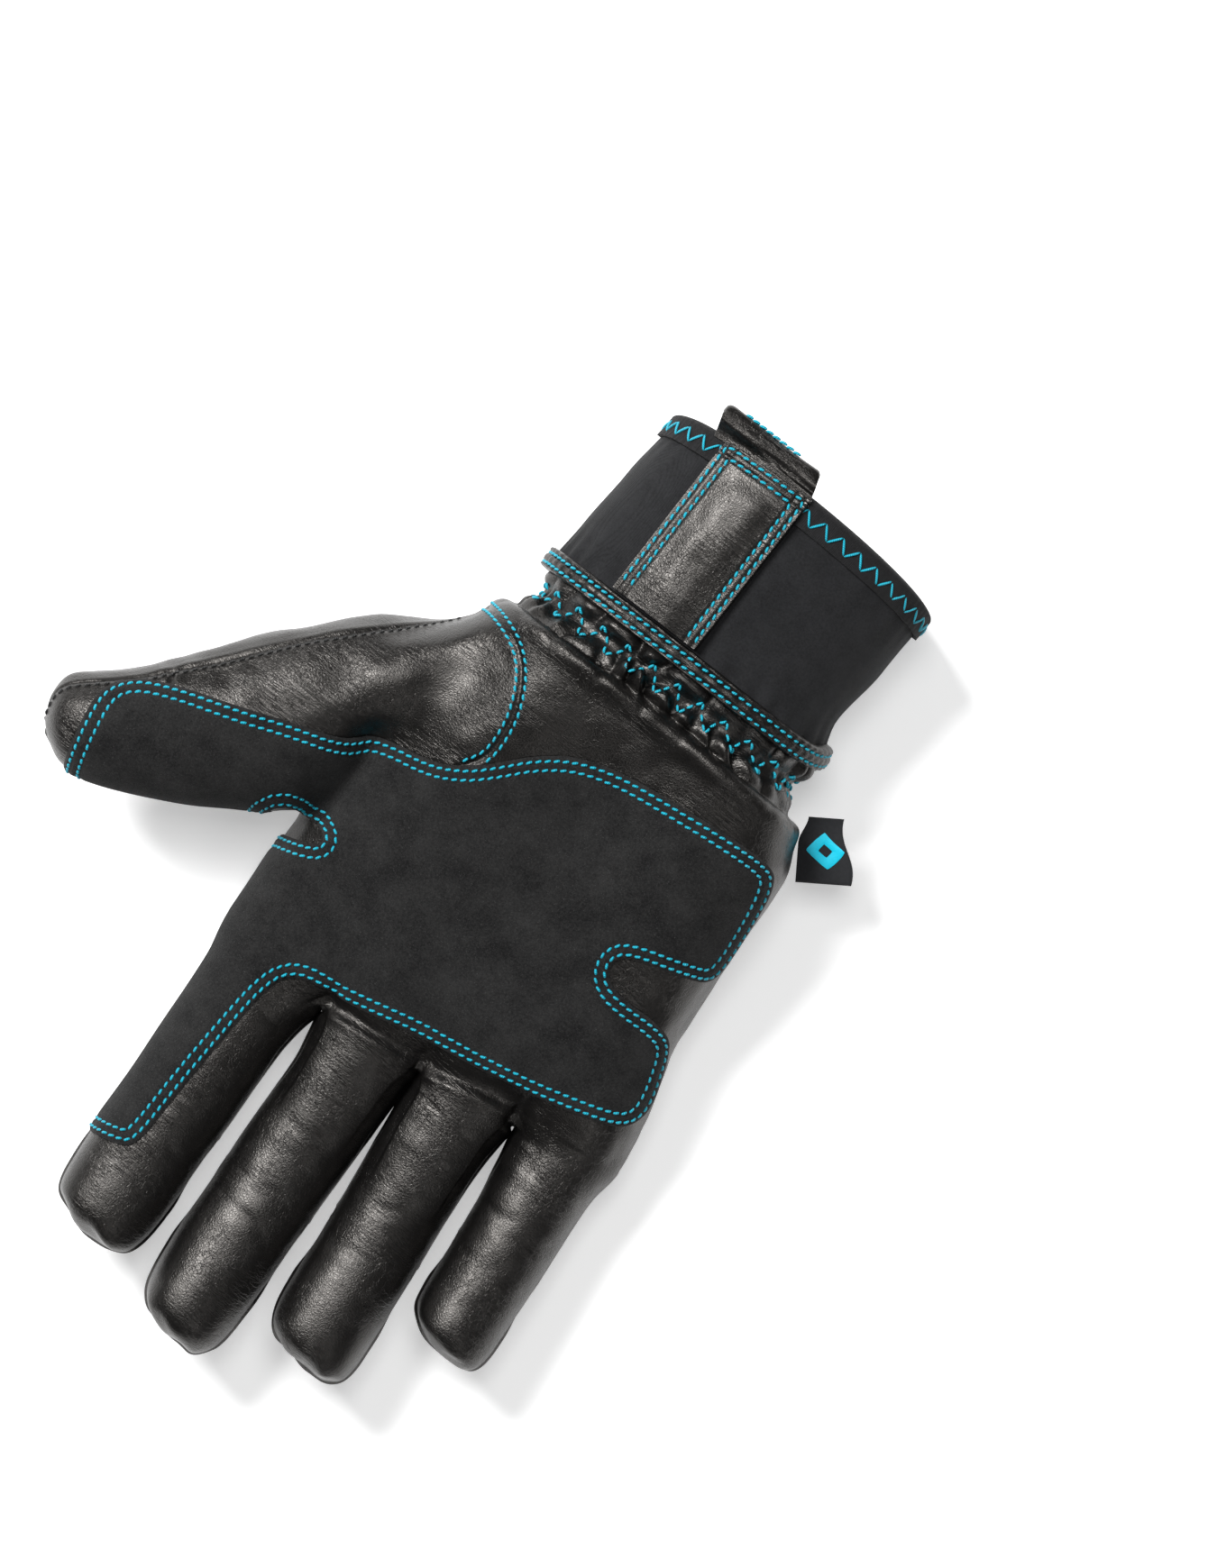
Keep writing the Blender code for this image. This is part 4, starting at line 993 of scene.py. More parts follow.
def stitch_template():
    """One stitch along X, unit length and radius: a thread that rises from the leather and dips back in."""
    points, faces, sides, rings = [], [], 7, 9
    for i in range(rings):
        t = -1 + 2 * i / (rings - 1)
        radius = math.sqrt(max(0.0, 1 - abs(t) ** 3.5)) * 0.98 + 0.02
        for k in range(sides):
            a = 2 * math.pi * k / sides
            points.append((t / 2, radius * math.cos(a), radius * math.sin(a) + 0.75 * (1 - t * t) - 0.45))
    for i in range(rings - 1):
        for k in range(sides):
            m = (k + 1) % sides
            faces.append((i * sides + k, i * sides + m, (i + 1) * sides + m, (i + 1) * sides + k))
    faces.append(tuple(range(sides))[::-1])
    faces.append(tuple((rings - 1) * sides + k for k in range(sides)))
    return np.array(points), faces


STITCH_POINTS, STITCH_FACES = stitch_template()


def stitches_piece(name, centres, ways, normals, finish, length=STITCH_LENGTH, radius=THREAD_RADIUS,
                   slant=STITCH_SLANT):
    """One object holding many stitches."""
    ways = ways / np.linalg.norm(ways, axis=1)[:, None]
    sides = np.cross(normals, ways)
    sides /= np.maximum(np.linalg.norm(sides, axis=1), 1e-9)[:, None]
    ways, sides = (ways * math.cos(slant) + sides * math.sin(slant),
                   sides * math.cos(slant) - ways * math.sin(slant))
    t, n = STITCH_POINTS, len(STITCH_POINTS)
    points = centres[:, None, :]
    for k, size, way in ((0, length, ways), (1, radius, sides), (2, radius, np.cross(ways, sides))):
        points = points + t[None, :, k:k + 1] * size * way[:, None, :]
    faces = [tuple(k * n + corner for corner in face) for k in range(len(centres)) for face in STITCH_FACES]
    turn = np.arctan2(t[:, 2], t[:, 1]) / (2 * math.pi)
    rest = np.tile(np.stack([t[:, 0] * length, turn, np.zeros(n)], axis=1), (len(centres), 1))
    rest[:, 2] = np.repeat(np.arange(len(centres)) * 0.37 % 7.0, n)
    return make_mesh(name, points.reshape(-1, 3), faces, finish, rest=rest)


def contour(points, normals, values, faces, labels, level):
    """Lines where values cross level on a mesh: each a list of (point, normal, label)."""
    over = values[faces] > level
    cut = over.any(axis=1) & ~over.all(axis=1)
    links, places = {}, {}
    for face, label in zip(faces[cut], labels[cut]):
        ends = []
        for k in range(3):
            a, b = int(face[k]), int(face[(k + 1) % 3])
            if (values[a] > level) != (values[b] > level):
                key = (min(a, b), max(a, b))
                if key not in places:
                    share = (level - values[key[0]]) / (values[key[1]] - values[key[0]])
                    places[key] = (points[key[0]] * (1 - share) + points[key[1]] * share,
                                   normals[key[0]] * (1 - share) + normals[key[1]] * share, int(label))
                ends.append(key)
        if len(ends) == 2:
            links.setdefault(ends[0], []).append(ends[1])
            links.setdefault(ends[1], []).append(ends[0])
    lines, seen = [], set()
    for key in sorted(links, key=lambda k: (len(links[k]) != 1, k)):
        if key in seen:
            continue
        line, here = [key], key
        seen.add(key)
        while True:
            ahead = [k for k in links[here] if k not in seen]
            if not ahead:
                break
            here = ahead[0]
            seen.add(here)
            line.append(here)
        if len(line) > 6:
            if len(links[key]) == 2 and line[-1] in links[key]:
                line.append(key)
            lines.append([places[k] for k in line])
    return lines


def along_line(line, pitch, length):
    """Stitches along a line of (point, normal, label): centres, directions, normals and labels."""
    points, normals, labels = (np.array(values) for values in zip(*line))
    steps = np.linalg.norm(np.diff(points, axis=0), axis=1)
    at = np.concatenate([[0], np.cumsum(steps)])
    count = int((at[-1] - 0.4 * pitch) / pitch)
    if count < 1:
        return None
    spots = (np.arange(count) + 0.5) * (at[-1] / count)

    def read_at(s, values):
        return np.stack([np.interp(s, at, values[:, k]) for k in range(3)], axis=1)

    ahead, behind = read_at(spots + length * 0.5, points), read_at(spots - length * 0.5, points)
    nearest = np.clip(np.searchsorted(at, spots), 0, len(at) - 1)
    found = read_at(spots, normals)
    found /= np.linalg.norm(found, axis=1)[:, None]
    return read_at(spots, points) * 0.5 + (ahead + behind) * 0.25, ahead - behind, found, labels[nearest]


def joined(rows):
    """Rows of stitches put together, without the rows that hold none."""
    return [np.concatenate(parts) for parts in zip(*(row for row in rows if row is not None))]


def sew_rows(layer, kept, values, levels, name, finish, digits, keep=None):
    """Rows of stitches along contours of a layer, as one piece for each way they move.

    kept tells from labels which faces the rows may cross, and keep tells from centres which stitches stay.
    """
    (quads, triangles), labels = (layer["quads"], layer["triangles"]), layer["labels"]
    faces = np.concatenate([quads[:, [0, 1, 2]], quads[:, [0, 2, 3]], triangles])
    labels = np.concatenate([labels[0], labels[0], labels[1]])
    faces, labels = faces[kept(labels)], labels[kept(labels)]
    lines = [line for level in levels
             for line in contour(layer["outer"], layer["normals"], values, faces, labels, level)]
    rows = joined(along_line(line, STITCH_PITCH, STITCH_LENGTH) for line in lines)
    if keep is not None:
        staying = keep(rows[0])
        rows = [part[staying] for part in rows]
    centres, ways, normals, owners = rows
    digit = digit_of(owners)
    stretch = stretches(centres, digit, digits)
    group = np.where(stretch == 0, 0, digit * 10 + stretch)
    for key in np.unique(group):
        here = group == key
        owner = DIGITS[key // 10] if key else "hand"
        part = {0: "palm", 1: "base", 2: "tip", 3: "wrist"}[key % 10]
        label = f"{name}_{part}" if owner == "hand" else f"{name}_{owner}_{part}"
        piece = stitches_piece(label, centres[here], ways[here], normals[here], finish)
        follow(piece, digits.get(owner), key % 10)


# ---------------------------------------------------------------- materials

class Nodes:
    """Short hands for a material's node tree."""

    def __init__(self, name):
        self.material = bpy.data.materials.new(name)
        self.material.use_nodes = True
        self.tree = self.material.node_tree
        self.shader = self.tree.nodes["Principled BSDF"]

    def add(self, kind, inputs=None, **settings):
        node = self.tree.nodes.new(kind)
        for key, value in settings.items():
            setattr(node, key, value)
        for key, value in (inputs or {}).items():
            self.put(value, node.inputs[key])
        return node

    def put(self, value, socket):
        if isinstance(value, bpy.types.NodeSocket):
            self.tree.links.new(value, socket)
        else:
            socket.default_value = value

    def made(self, kind, inputs=None, **settings):
        """A new node's first output."""
        return self.add(kind, inputs, **settings).outputs[0]

    def rest(self, scale=(1.0, 1.0, 1.0)):
        """Where a point was at rest, in mm, so that a texture stays put as the glove bends."""
        place = self.add("ShaderNodeAttribute", attribute_name="rest").outputs["Vector"]
        return self.made("ShaderNodeVectorMath", {0: place, 1: scale}, operation="MULTIPLY")

    def noise(self, place, scale, detail=3.0, rough=0.55):
        return self.add("ShaderNodeTexNoise", {"Vector": place, "Scale": scale, "Detail": detail,
                                               "Roughness": rough}).outputs["Fac"]

    def ramp(self, value, low, high, start=0.0, end=1.0):
        """value, from start..end, as a number from low to high."""
        return self.made("ShaderNodeMapRange", {0: value, 1: start, 2: end, 3: low, 4: high})

    def lines(self, place, scale, width, mask):
        """Thin broken valleys: 0 in a valley, 1 elsewhere. They show where mask is high."""
        wander = self.noise(place, scale, 3.0, 0.6)
        away = self.math("ABSOLUTE", self.math("SUBTRACT", wander, 0.5))
        valley, shown = self.ramp(away, 1.0, 0.0, 0.0, width), self.ramp(mask, 0.0, 1.0, 0.42, 0.58)
        return self.math("SUBTRACT", 1.0, self.math("MULTIPLY", valley, shown))

    def blend(self, share, first, second):
        """A colour between two, each of them three numbers or another colour's socket."""
        first, second = ((*c, 1.0) if isinstance(c, tuple) else c for c in (first, second))
        return self.add("ShaderNodeMix", {0: share, 6: first, 7: second}, data_type="RGBA").outputs[2]

    def math(self, operation, a, b=0.0):
        return self.made("ShaderNodeMath", {0: a, 1: b}, operation=operation)

    def split(self, place):
        return self.add("ShaderNodeSeparateXYZ", {0: place}).outputs

    def wave(self, turns, cycle):
        """A sine wave with one cycle in each cycle of turns."""
        return self.math("SINE", self.math("MULTIPLY", turns, 2 * math.pi / cycle))

    def bumps(self, *layers):
        """Bump nodes in a chain, from (height, size in mm) pairs."""
        normal = None
        for height, size in layers:
            inputs = {"Height": height, "Strength": 1.0, "Distance": size * MM}
            if normal is not None:
                inputs["Normal"] = normal
            normal = self.made("ShaderNodeBump", inputs)
        self.put(normal, self.shader.inputs["Normal"])

    def finish(self, **inputs):
        for key, value in inputs.items():
            self.put(value, self.shader.inputs[key.replace("_", " ")])
        return self.material


def leather_finish():
    """Smooth glove leather: fine pebbled grain, short broken wrinkles and a satin sheen."""
    n = Nodes("glove_leather")
    place = n.rest()
    warp = n.add("ShaderNodeTexNoise", {"Vector": place, "Scale": 0.7, "Detail": 2.0}).outputs["Color"]
    warped = n.made("ShaderNodeVectorMath", {0: warp, 1: (1.1, 1.1, 1.1), 2: place}, operation="MULTIPLY_ADD")
    cells = n.add("ShaderNodeTexVoronoi", {"Vector": warped, "Scale": 1.35},
                  feature="DISTANCE_TO_EDGE").outputs["Distance"]
    grain = n.ramp(cells, 0.0, 1.0, 0.0, 0.25)
    fine = n.noise(place, 3.2, 4.0, 0.65)
    across = n.lines(n.rest((0.10, 0.85, 0.22)), 1.0, 0.055, n.noise(place, 0.055, 2.0))
    crossed = n.lines(n.rest((0.45, 0.3, 0.35)), 1.0, 0.035, n.noise(n.rest((1.0, -1.0, 1.0)), 0.06, 2.0))
    soft = n.noise(place, 0.07, 2.0)
    worn = n.noise(place, 0.35, 5.0, 0.6)
    colour = n.blend(n.ramp(worn, 0.0, 1.0, 0.35, 0.75), (0.0024, 0.0023, 0.0023), (0.0052, 0.0048, 0.0046))
    rough = n.math("ADD", n.ramp(soft, 0.285, 0.345, 0.3, 0.7), n.ramp(grain, 0.06, -0.015))
    n.bumps((grain, 0.026), (fine, 0.02), (across, 0.07), (crossed, 0.05))
    return n.finish(Base_Color=colour, Roughness=rough, Specular_IOR_Level=0.50,
                    Specular_Tint=(1.0, 0.95, 0.90, 1.0))


def suede_finish():
    """Napped microfibre: matt charcoal with a short, mottled pile."""
    n = Nodes("suede_patch")
    place = n.rest()
    pile = n.noise(place, 1.7, 6.0, 0.8)
    mottle = n.noise(place, 0.12, 4.0, 0.6)
    specks = n.noise(place, 4.0, 2.0, 0.5)
    share = n.math("ADD", n.math("MULTIPLY", pile, 0.65), n.math("MULTIPLY", mottle, 0.35))
    colour = n.blend(n.ramp(share, 0.0, 1.0, 0.40, 0.61), (0.0042, 0.0042, 0.0044), (0.0215, 0.0212, 0.021))
    colour = n.blend(n.ramp(specks, 0.0, 0.9, 0.62, 0.78), colour, (0.06, 0.06, 0.06))
    n.bumps((pile, 0.22), (specks, 0.10), (mottle, 0.25))
    return n.finish(Base_Color=colour, Roughness=0.95, Specular_IOR_Level=0.18, Sheen_Weight=0.05,
                    Sheen_Roughness=0.5)


def knit_finish(name, colour, light, column, row, depth):
    """A fine knit: columns of small loops, with painted shade that darkens the hollows between the loops and
    lightens their tops. column and row are the loops' sizes in mm.
    """
    n = Nodes(name)
    place = n.rest()
    x, y, z = n.split(place)
    across = n.wave(n.math("ADD", x, z), column)
    down = n.math("SINE", n.math("ADD", n.math("MULTIPLY", y, 2 * math.pi / row),
                                 n.math("MULTIPLY", across, 1.1)))
    loops = n.ramp(n.math("ADD", n.math("ABSOLUTE", across), n.math("ABSOLUTE", down)), 0.0, 1.0, 0.0, 2.0)
    fuzz = n.noise(place, 1.6, 5.0, 0.8)
    mottle = n.noise(place, 0.12, 4.0, 0.6)
    # The tone follows the loops as painted shade, darker in their hollows, and varies at random with the fuzz
    # and the mottle.
    share = n.math("ADD", n.math("MULTIPLY", loops, 0.15),
                   n.math("ADD", n.math("MULTIPLY", fuzz, 0.55), n.math("MULTIPLY", mottle, 0.3)))
    shade = n.blend(n.ramp(share, 0.0, 1.0, 0.36, 0.62), colour, light)
    n.bumps((loops, depth), (fuzz, 0.06))
    return n.finish(Base_Color=shade, Roughness=0.88, Specular_IOR_Level=0.25, Sheen_Weight=0.04,
                    Sheen_Roughness=0.5)


# Each thread's tones: two tones of its fibre, and a dark tone that paints shade into the grooves between the
# plies.
CYAN_THREAD = ((0.0, 0.33, 0.46), (0.002, 0.47, 0.62), (0.0, 0.10, 0.15))
BLACK_THREAD = ((0.004, 0.004, 0.004), (0.010, 0.010, 0.010), (0.001, 0.001, 0.001))


def thread_finish(name, shades):
    """Twisted polyester thread, with painted shade in the grooves between its plies. Its rest place is (mm
    along, turns round, which stitch).
    """
    n = Nodes(name)
    place = n.add("ShaderNodeAttribute", attribute_name="rest").outputs["Vector"]
    along, turn, _ = n.split(place)
    ply = n.math("SINE", n.math("ADD", n.math("MULTIPLY", along, 2 * math.pi / 0.55),
                                n.math("MULTIPLY", turn, 4 * math.pi)))
    ply = n.ramp(ply, 0.0, 1.0, -1.0, 1.0)
    fibre = n.noise(n.rest((3.0, 9.0, 1.0)), 2.0, 3.0)
    shade = n.noise(n.rest((0.05, 0.05, 1.0)), 1.3, 2.0)
    deep = n.blend(shade, shades[0], shades[1])
    # Painted shade: where the ply is low, in the grooves between the plies, the colour is darkened halfway to
    # the dark tone.
    colour = n.blend(n.ramp(ply, 0.0, 1.0, 0.0, 0.6), n.blend(0.5, deep, shades[2]), deep)
    n.bumps((ply, 0.10), (fibre, 0.03))
    return n.finish(Base_Color=colour, Roughness=0.45, Specular_IOR_Level=0.4, Sheen_Weight=0.05)


def label_finish():
    """Woven polyester tape, with painted shade that darkens the hollows of its weave."""
    n = Nodes("label_tape")
    place = n.rest()
    x, y, _ = n.split(place)
    weft, warp = (n.math("SINE", n.math("MULTIPLY", n.math(way, x, y), 14.0)) for way in ("ADD", "SUBTRACT"))
    weave = n.ramp(n.math("MULTIPLY", weft, warp), 0.0, 1.0, -1.0, 1.0)
    # Painted shade: the weave's hollows are darker and its raised threads lighter, varied at random by the
    # noise.
    share = n.math("MULTIPLY", weave, n.noise(place, 1.0))
    colour = n.blend(share, (0.009, 0.0095, 0.011), (0.03, 0.031, 0.034))
    n.bumps((weave, 0.07))
    return n.finish(Base_Color=colour, Roughness=0.8, Specular_IOR_Level=0.3, Sheen_Weight=0.04)


def mark_finish():
    """The label's printed mark."""
    n = Nodes("label_mark")
    grain = n.noise(n.rest(), 2.2, 3.0)
    colour = n.blend(grain, (0.0, 0.40, 0.56), (0.002, 0.54, 0.72))
    n.bumps((grain, 0.08))
    return n.finish(Base_Color=colour, Roughness=0.6, Specular_IOR_Level=0.3)


def floor_finish():
    """A pale backdrop that glows a little, so that the glove's shadow on it stays soft."""
    n = Nodes("studio_floor")
    tone = n.noise(n.add("ShaderNodeTexCoord").outputs["Object"], 3.0, 2.0)
    colour = n.blend(tone, (0.90, 0.90, 0.90), (0.93, 0.93, 0.93))
    return n.finish(Base_Color=colour, Roughness=0.8, Specular_IOR_Level=0.1,
                    Emission_Color=(1.0, 1.0, 1.0, 1.0), Emission_Strength=0.40)


# ---------------------------------------------------------------- the cuff

def cuff_sections():
    """Ovals along the cuff, from the CAD sleeve's box: (y, centre x, half width, half height)."""
    low, high = box_mm("cuff_sleeve")
    half = (high[0] - low[0]) / 2
    centre = (high[0] + low[0]) / 2
    return ((high[1], centre - 0.2, half, 25.2), (high[1] - 12.4, centre + 1.0, half - 1.6, 26.0),
            (high[1] - 29.4, centre - 0.2, half - 1.2, 27.0), (low[1], centre - 1.2, half - 1.8, 27.6))


SLEEVE_INSIDE, BINDING_OUTSIDE = -2.6, 2.1       # from the sleeve's outside
CUFF = cuff_sections()
CUFF_TOP, CUFF_EDGE = CUFF[0][0], CUFF[-1][0]


def cuff_section(y):
    ordered = sorted(CUFF)
    if y <= ordered[0][0]:
        return (y, *ordered[0][1:])
    for low, high in zip(ordered, ordered[1:]):
        if y <= high[0]:
            share = float(smooth((y - low[0]) / (high[0] - low[0])))
            return (y, *(a + (b - a) * share for a, b in zip(low[1:], high[1:])))
    return (y, *ordered[-1][1:])


def cuff_bow(angle, y):
    """How far the cuff's edge leans out on the palm side and in at the sides."""
    share = max(0.0, min(1.3, (CUFF_TOP - y) / (CUFF_TOP - CUFF_EDGE)))
    return share * share * (1.6 - 2.9 * abs(math.sin(angle)) + 1.0 * max(0.0, -math.cos(angle)))


def cuff_place(angle, y, grow):
    """A point of the cuff, and the way out of it there."""
    section = cuff_section(y)
    x, _, z = oval_point(section, angle, grow)
    x2, _, z2 = oval_point(section, angle + 0.01, grow)
    out = np.array((z2 - z, 0.0, x - x2))
    return np.array((x, y + cuff_bow(angle, y), z)), out / (np.linalg.norm(out) or 1.0)


def even_angles(count):
    """Angles that space points evenly round the cuff's oval."""
    fine = np.linspace(0, 2 * math.pi, 2001)
    ring = np.array([oval_point(CUFF[1], a) for a in fine])
    at = np.concatenate([[0], np.cumsum(np.linalg.norm(np.diff(ring, axis=0), axis=1))])
    return np.interp(np.arange(count) / count * at[-1], at, fine), at[-1]


def rounded_profile(low, high, outer, inner, radius, step=2.0):
    """A wall's closed profile of (y, grow) points with rounded ends, down the outside and up the inside."""
    middle, half = (outer + inner) / 2, (outer - inner) / 2
    radius = min(radius, half)
    ys = np.linspace(high - radius, low + radius, max(2, int((high - low) / step)))
    turns = [math.pi * k / 6 for k in range(1, 6)]
    low_end = [(low + radius - radius * math.sin(t), middle + half * math.cos(t)) for t in turns]
    high_end = [(high - radius + radius * math.sin(t), middle - half * math.cos(t)) for t in turns]
    return [(y, outer) for y in ys] + low_end + [(y, inner) for y in ys[::-1]] + high_end


def cuff_tube(name, profile, finish, lift, count=220, slant=False):
    """A profile carried round the cuff. lift(angle, y, grow) adds height to the surface."""
    angles, _ = even_angles(count)
    points = []
    for angle in angles:
        dip = cuff_dip(angle) if slant else 0.0
        for y, grow in profile:
            points.append(cuff_place(angle, y + dip, grow + lift(angle, y, grow))[0])
    n, faces = len(profile), []
    for k in range(count):
        m = (k + 1) % count
        for j in range(n):
            i = (j + 1) % n
            faces.append((k * n + j, m * n + j, m * n + i, k * n + i))
    return closed_mesh(name, points, faces, finish, 50)


def waves(angle, y, seed, size):
    """Gentle unevenness round the cuff."""
    rng = np.random.default_rng(seed)
    total = 0.0
    for k in range(2, 9):
        total += math.sin(k * angle + y * rng.uniform(-0.12, 0.12) + rng.uniform(0, 6.3)) / k
    return total * size


def add_sleeve(finish):
    """The neoprene sleeve, puffed between the binding and the trim."""
    def lift(angle, y, grow):
        near_binding = math.exp(-max(0.0, CUFF_TOP - 4.0 - y) / 5.0)
        near_trim = math.exp(-max(0.0, y - CUFF_EDGE - 7.0) / 4.0)
        puff = 0.5 * math.sin(math.pi * min(1.0, max(0.0, (CUFF_TOP - y) / (CUFF_TOP - CUFF_EDGE))))
        ripple = 0.35 * math.sin(31 * angle + 1.3 * math.sin(3 * angle)) * (near_binding + 0.5 * near_trim)
        return puff + waves(angle, y, 5, 0.35) + ripple

    profile = rounded_profile(CUFF_EDGE, CUFF_TOP, 0.0, SLEEVE_INSIDE, 1.2)
    fit(cuff_tube("cuff_sleeve_neoprene", profile, finish, lift), "cuff", "cuff_sleeve")


def cuff_dip(angle):
    """How far the binding lies off its own ring at an angle round the cuff."""
    x, _, z = cuff_place(angle, CUFF_TOP, 0.0)[0]
    return float(binding_dip(x, z))


def add_binding(finish, thread):
    """The leather binding between the gathers and the sleeve, with its two rows of stitches."""
    low, high = box_mm("cuff_binding")

    def lift(angle, y, grow):
        if grow < 0.6:
            return 0.0
        rows = sum(math.exp(-((y - row) / 0.55) ** 2) for row in BINDING_ROWS)
        pucker = 0.18 * math.sin(62 * angle + 2 * math.sin(5 * angle)) + waves(angle, y, 8, 0.25)
        return 0.45 - 0.55 * rows + pucker

    profile = rounded_profile(low[1], high[1], BINDING_OUTSIDE, -1.5, 0.7, step=0.45)
    binding = cuff_tube("cuff_binding_leather", profile, finish, lift, 300, slant=True)
    fit(binding, "cuff", "cuff_binding")
    angles, _ = even_angles(2000)
    turns = np.append(angles, angles[0] + 2 * math.pi)[::4]
    lines = [[(*cuff_place(angle, row + cuff_dip(angle), BINDING_OUTSIDE + 0.05), 0) for angle in turns]
             for row in BINDING_ROWS]
    rows = joined(along_line(line, STITCH_PITCH, STITCH_LENGTH) for line in lines)
    fit(stitches_piece("cuff_binding_stitches", *rows[:3], thread), "cuff")


def zigzag_legs(place, pitch, low, high):
    """The legs of a zigzag round the cuff. place(angle, y) gives (point, normal); pitch is the wavelength."""
    angles, around = even_angles(ZIGZAG_STEPS)
    count, legs = int(around / pitch), []
    for k in range(2 * count):
        a, b = k / (2 * count), (k + 1) / (2 * count)
        ya, yb = (low, high) if k % 2 == 0 else (high, low)
        leg = []
        for t in np.linspace(0, 1, 6):
            angle = angles[int((a + (b - a) * t) * ZIGZAG_STEPS) % ZIGZAG_STEPS]
            leg.append((*place(angle, ya + (yb - ya) * t), 0))
        legs.append(leg)
    return legs


def sew_legs(name, legs, per_leg, length, radius, finish):
    """One object with the stitches of a zigzag's legs."""
    totals = [sum(np.linalg.norm(b[0] - a[0]) for a, b in zip(leg, leg[1:])) for leg in legs]
    rows = joined(along_line(leg, total / (per_leg + 0.45), min(length, total / per_leg))
                  for leg, total in zip(legs, totals))
    return stitches_piece(name, *rows[:3], finish, length, radius, 0.0)


def add_trim(finish, thread):
    """The elastic that folds round the cuff's edge, with its zigzag seam."""
    outer, thick, turn = 0.5, 0.95, 1.1
    inner = SLEEVE_INSIDE - 0.4
    top, edge = CUFF_EDGE + 6.2, CUFF_EDGE - 0.3
    profile = [(y, outer + thick) for y in np.linspace(top, edge + 0.4, 12)]
    for t in np.linspace(0.15, math.pi - 0.15, 9):
        middle, half = (outer + thick + inner - thick) / 2, (outer - inner) / 2 + thick
        profile.append((edge + 0.4 - (turn + 0.4) * math.sin(t), middle + half * math.cos(t)))
    profile += [(y, inner - thick) for y in np.linspace(edge + 0.4, top, 12)]
    profile += [(y, inner) for y in np.linspace(top, edge + 0.4, 6)]
    profile += [(edge, inner + 0.5), (edge, outer - 0.5)]
    profile += [(y, outer) for y in np.linspace(edge + 0.4, top, 6)]

    def lift(angle, y, grow):
        rib = 0.10 * math.sin(150 * angle)
        return (rib + waves(angle, y, 21, 0.25)) if grow > outer + 0.2 else 0.0

    fit(cuff_tube("cuff_trim_elastic", profile, finish, lift, 300), "cuff", "cuff_trim")

    def place(angle, y):
        return cuff_place(angle, y, outer + thick + 0.1)

    legs = zigzag_legs(place, TRIM_PITCH, *(CUFF_EDGE + y for y in TRIM_TURNS))
    fit(sew_legs("cuff_trim_zigzag", legs, 1, 4.6, 0.33, thread), "cuff")


def palm_side_angle(x, y, grow):
    """The angle at which the cuff's palm side has this x."""
    _, cx, half_width, _ = cuff_section(y)
    share = max(-0.999, min(0.999, (x - cx) / (half_width + grow)))
    return math.acos(math.copysign(abs(share) ** (OVAL_POWER / 2), share))


def sheet(name, outer, inner, across, finish, smooth_angle=55):
    """A closed strip from two grids of points, each of across + 1 points a row."""
    n, w = len(outer), across + 1
    rows = n // w - 1
    faces = []
    for i in range(rows):
        for j in range(across):
            a = i * w + j
            faces.append((a, a + 1, a + w + 1, a + w))
            faces.append((a + n + w, a + n + w + 1, a + n + 1, a + n))
    loop = ([(0, j) for j in range(w)] + [(i, across) for i in range(1, rows + 1)]
            + [(rows, j) for j in range(across - 1, -1, -1)] + [(i, 0) for i in range(rows - 1, 0, -1)])
    ids = [i * w + j for i, j in loop]
    faces += [(b, a, a + n, b + n) for a, b in zip(ids, ids[1:] + ids[:1])]
    return closed_mesh(name, outer + inner, faces, finish, smooth_angle)


def round_over(distance, radius):
    """0 at an edge, rising to 1 a radius away from it, as a quarter circle."""
    return math.sqrt(max(0.0, 1 - max(0.0, 1 - distance / radius) ** 2))


TAB_CLEAR = 1.75                    # the tab's underside above the cuff


def tab_place(x, y):
    """A point of the tab's underside, and the way out of it there."""
    return cuff_place(palm_side_angle(x, y, TAB_CLEAR), y, TAB_CLEAR)


def add_tab(finish, thread):
    """The pull tab: a crowned leather strip with sewn edges."""
    low, high = box_mm("pull_tab")
    left, right, rows, across, thick = low[0], high[0], 120, 64, 1.3

    def height(u, v):
        side, end = min(u - left, right - u), v - low[1]
        edge = min(side, end, high[1] - v + 1.0)
        dips = sum(float(bump(side - at, 0.5) + bump(end - at, 0.5)) for at in TAB_ROWS)
        crown = 1.15 * float(smooth((side - 4.0) / 7.0)) * float(smooth((end - 4.0) / 7.0))
        wrinkle = 0.06 * math.sin(0.55 * u + 0.35 * v + 1.6 * math.sin(0.21 * v))
        wrinkle *= float(smooth((side - 4) / 3))
        return 0.25 + (thick - 0.25) * round_over(edge, 0.8) - 0.45 * dips + crown + wrinkle

    outer, inner = [], []
    for v in np.linspace(high[1], low[1], rows + 1):
        for u in np.linspace(left, right, across + 1):
            base, out = tab_place(u, v)
            outer.append(base + out * height(u, v))
            inner.append(base)
    fit(sheet("pull_tab_leather", outer, inner, across, finish), "cuff", "pull_tab")
    made = []
    for at in TAB_ROWS:
        west, east, south, north = left + at, right - at, low[1] + at, high[1] - 1.2
        corners = [(west, north), (west, south + 0.4), (west + 1.0, south),
                   (east - 1.0, south), (east, south + 0.4), (east, north)]
        line = []
        for (x0, y0), (x1, y1) in zip(corners, corners[1:]):
            steps = max(2, int(math.hypot(x1 - x0, y1 - y0) / 1.5))
            for k in range(steps):
                u, v = x0 + (x1 - x0) * k / steps, y0 + (y1 - y0) * k / steps
                base, out = tab_place(u, v)
                line.append((base + out * (height(u, v) + 0.12), out, 0))
        made.append(along_line(line, STITCH_PITCH, STITCH_LENGTH))
    fit(stitches_piece("pull_tab_stitches", *joined(made)[:3], thread), "cuff")


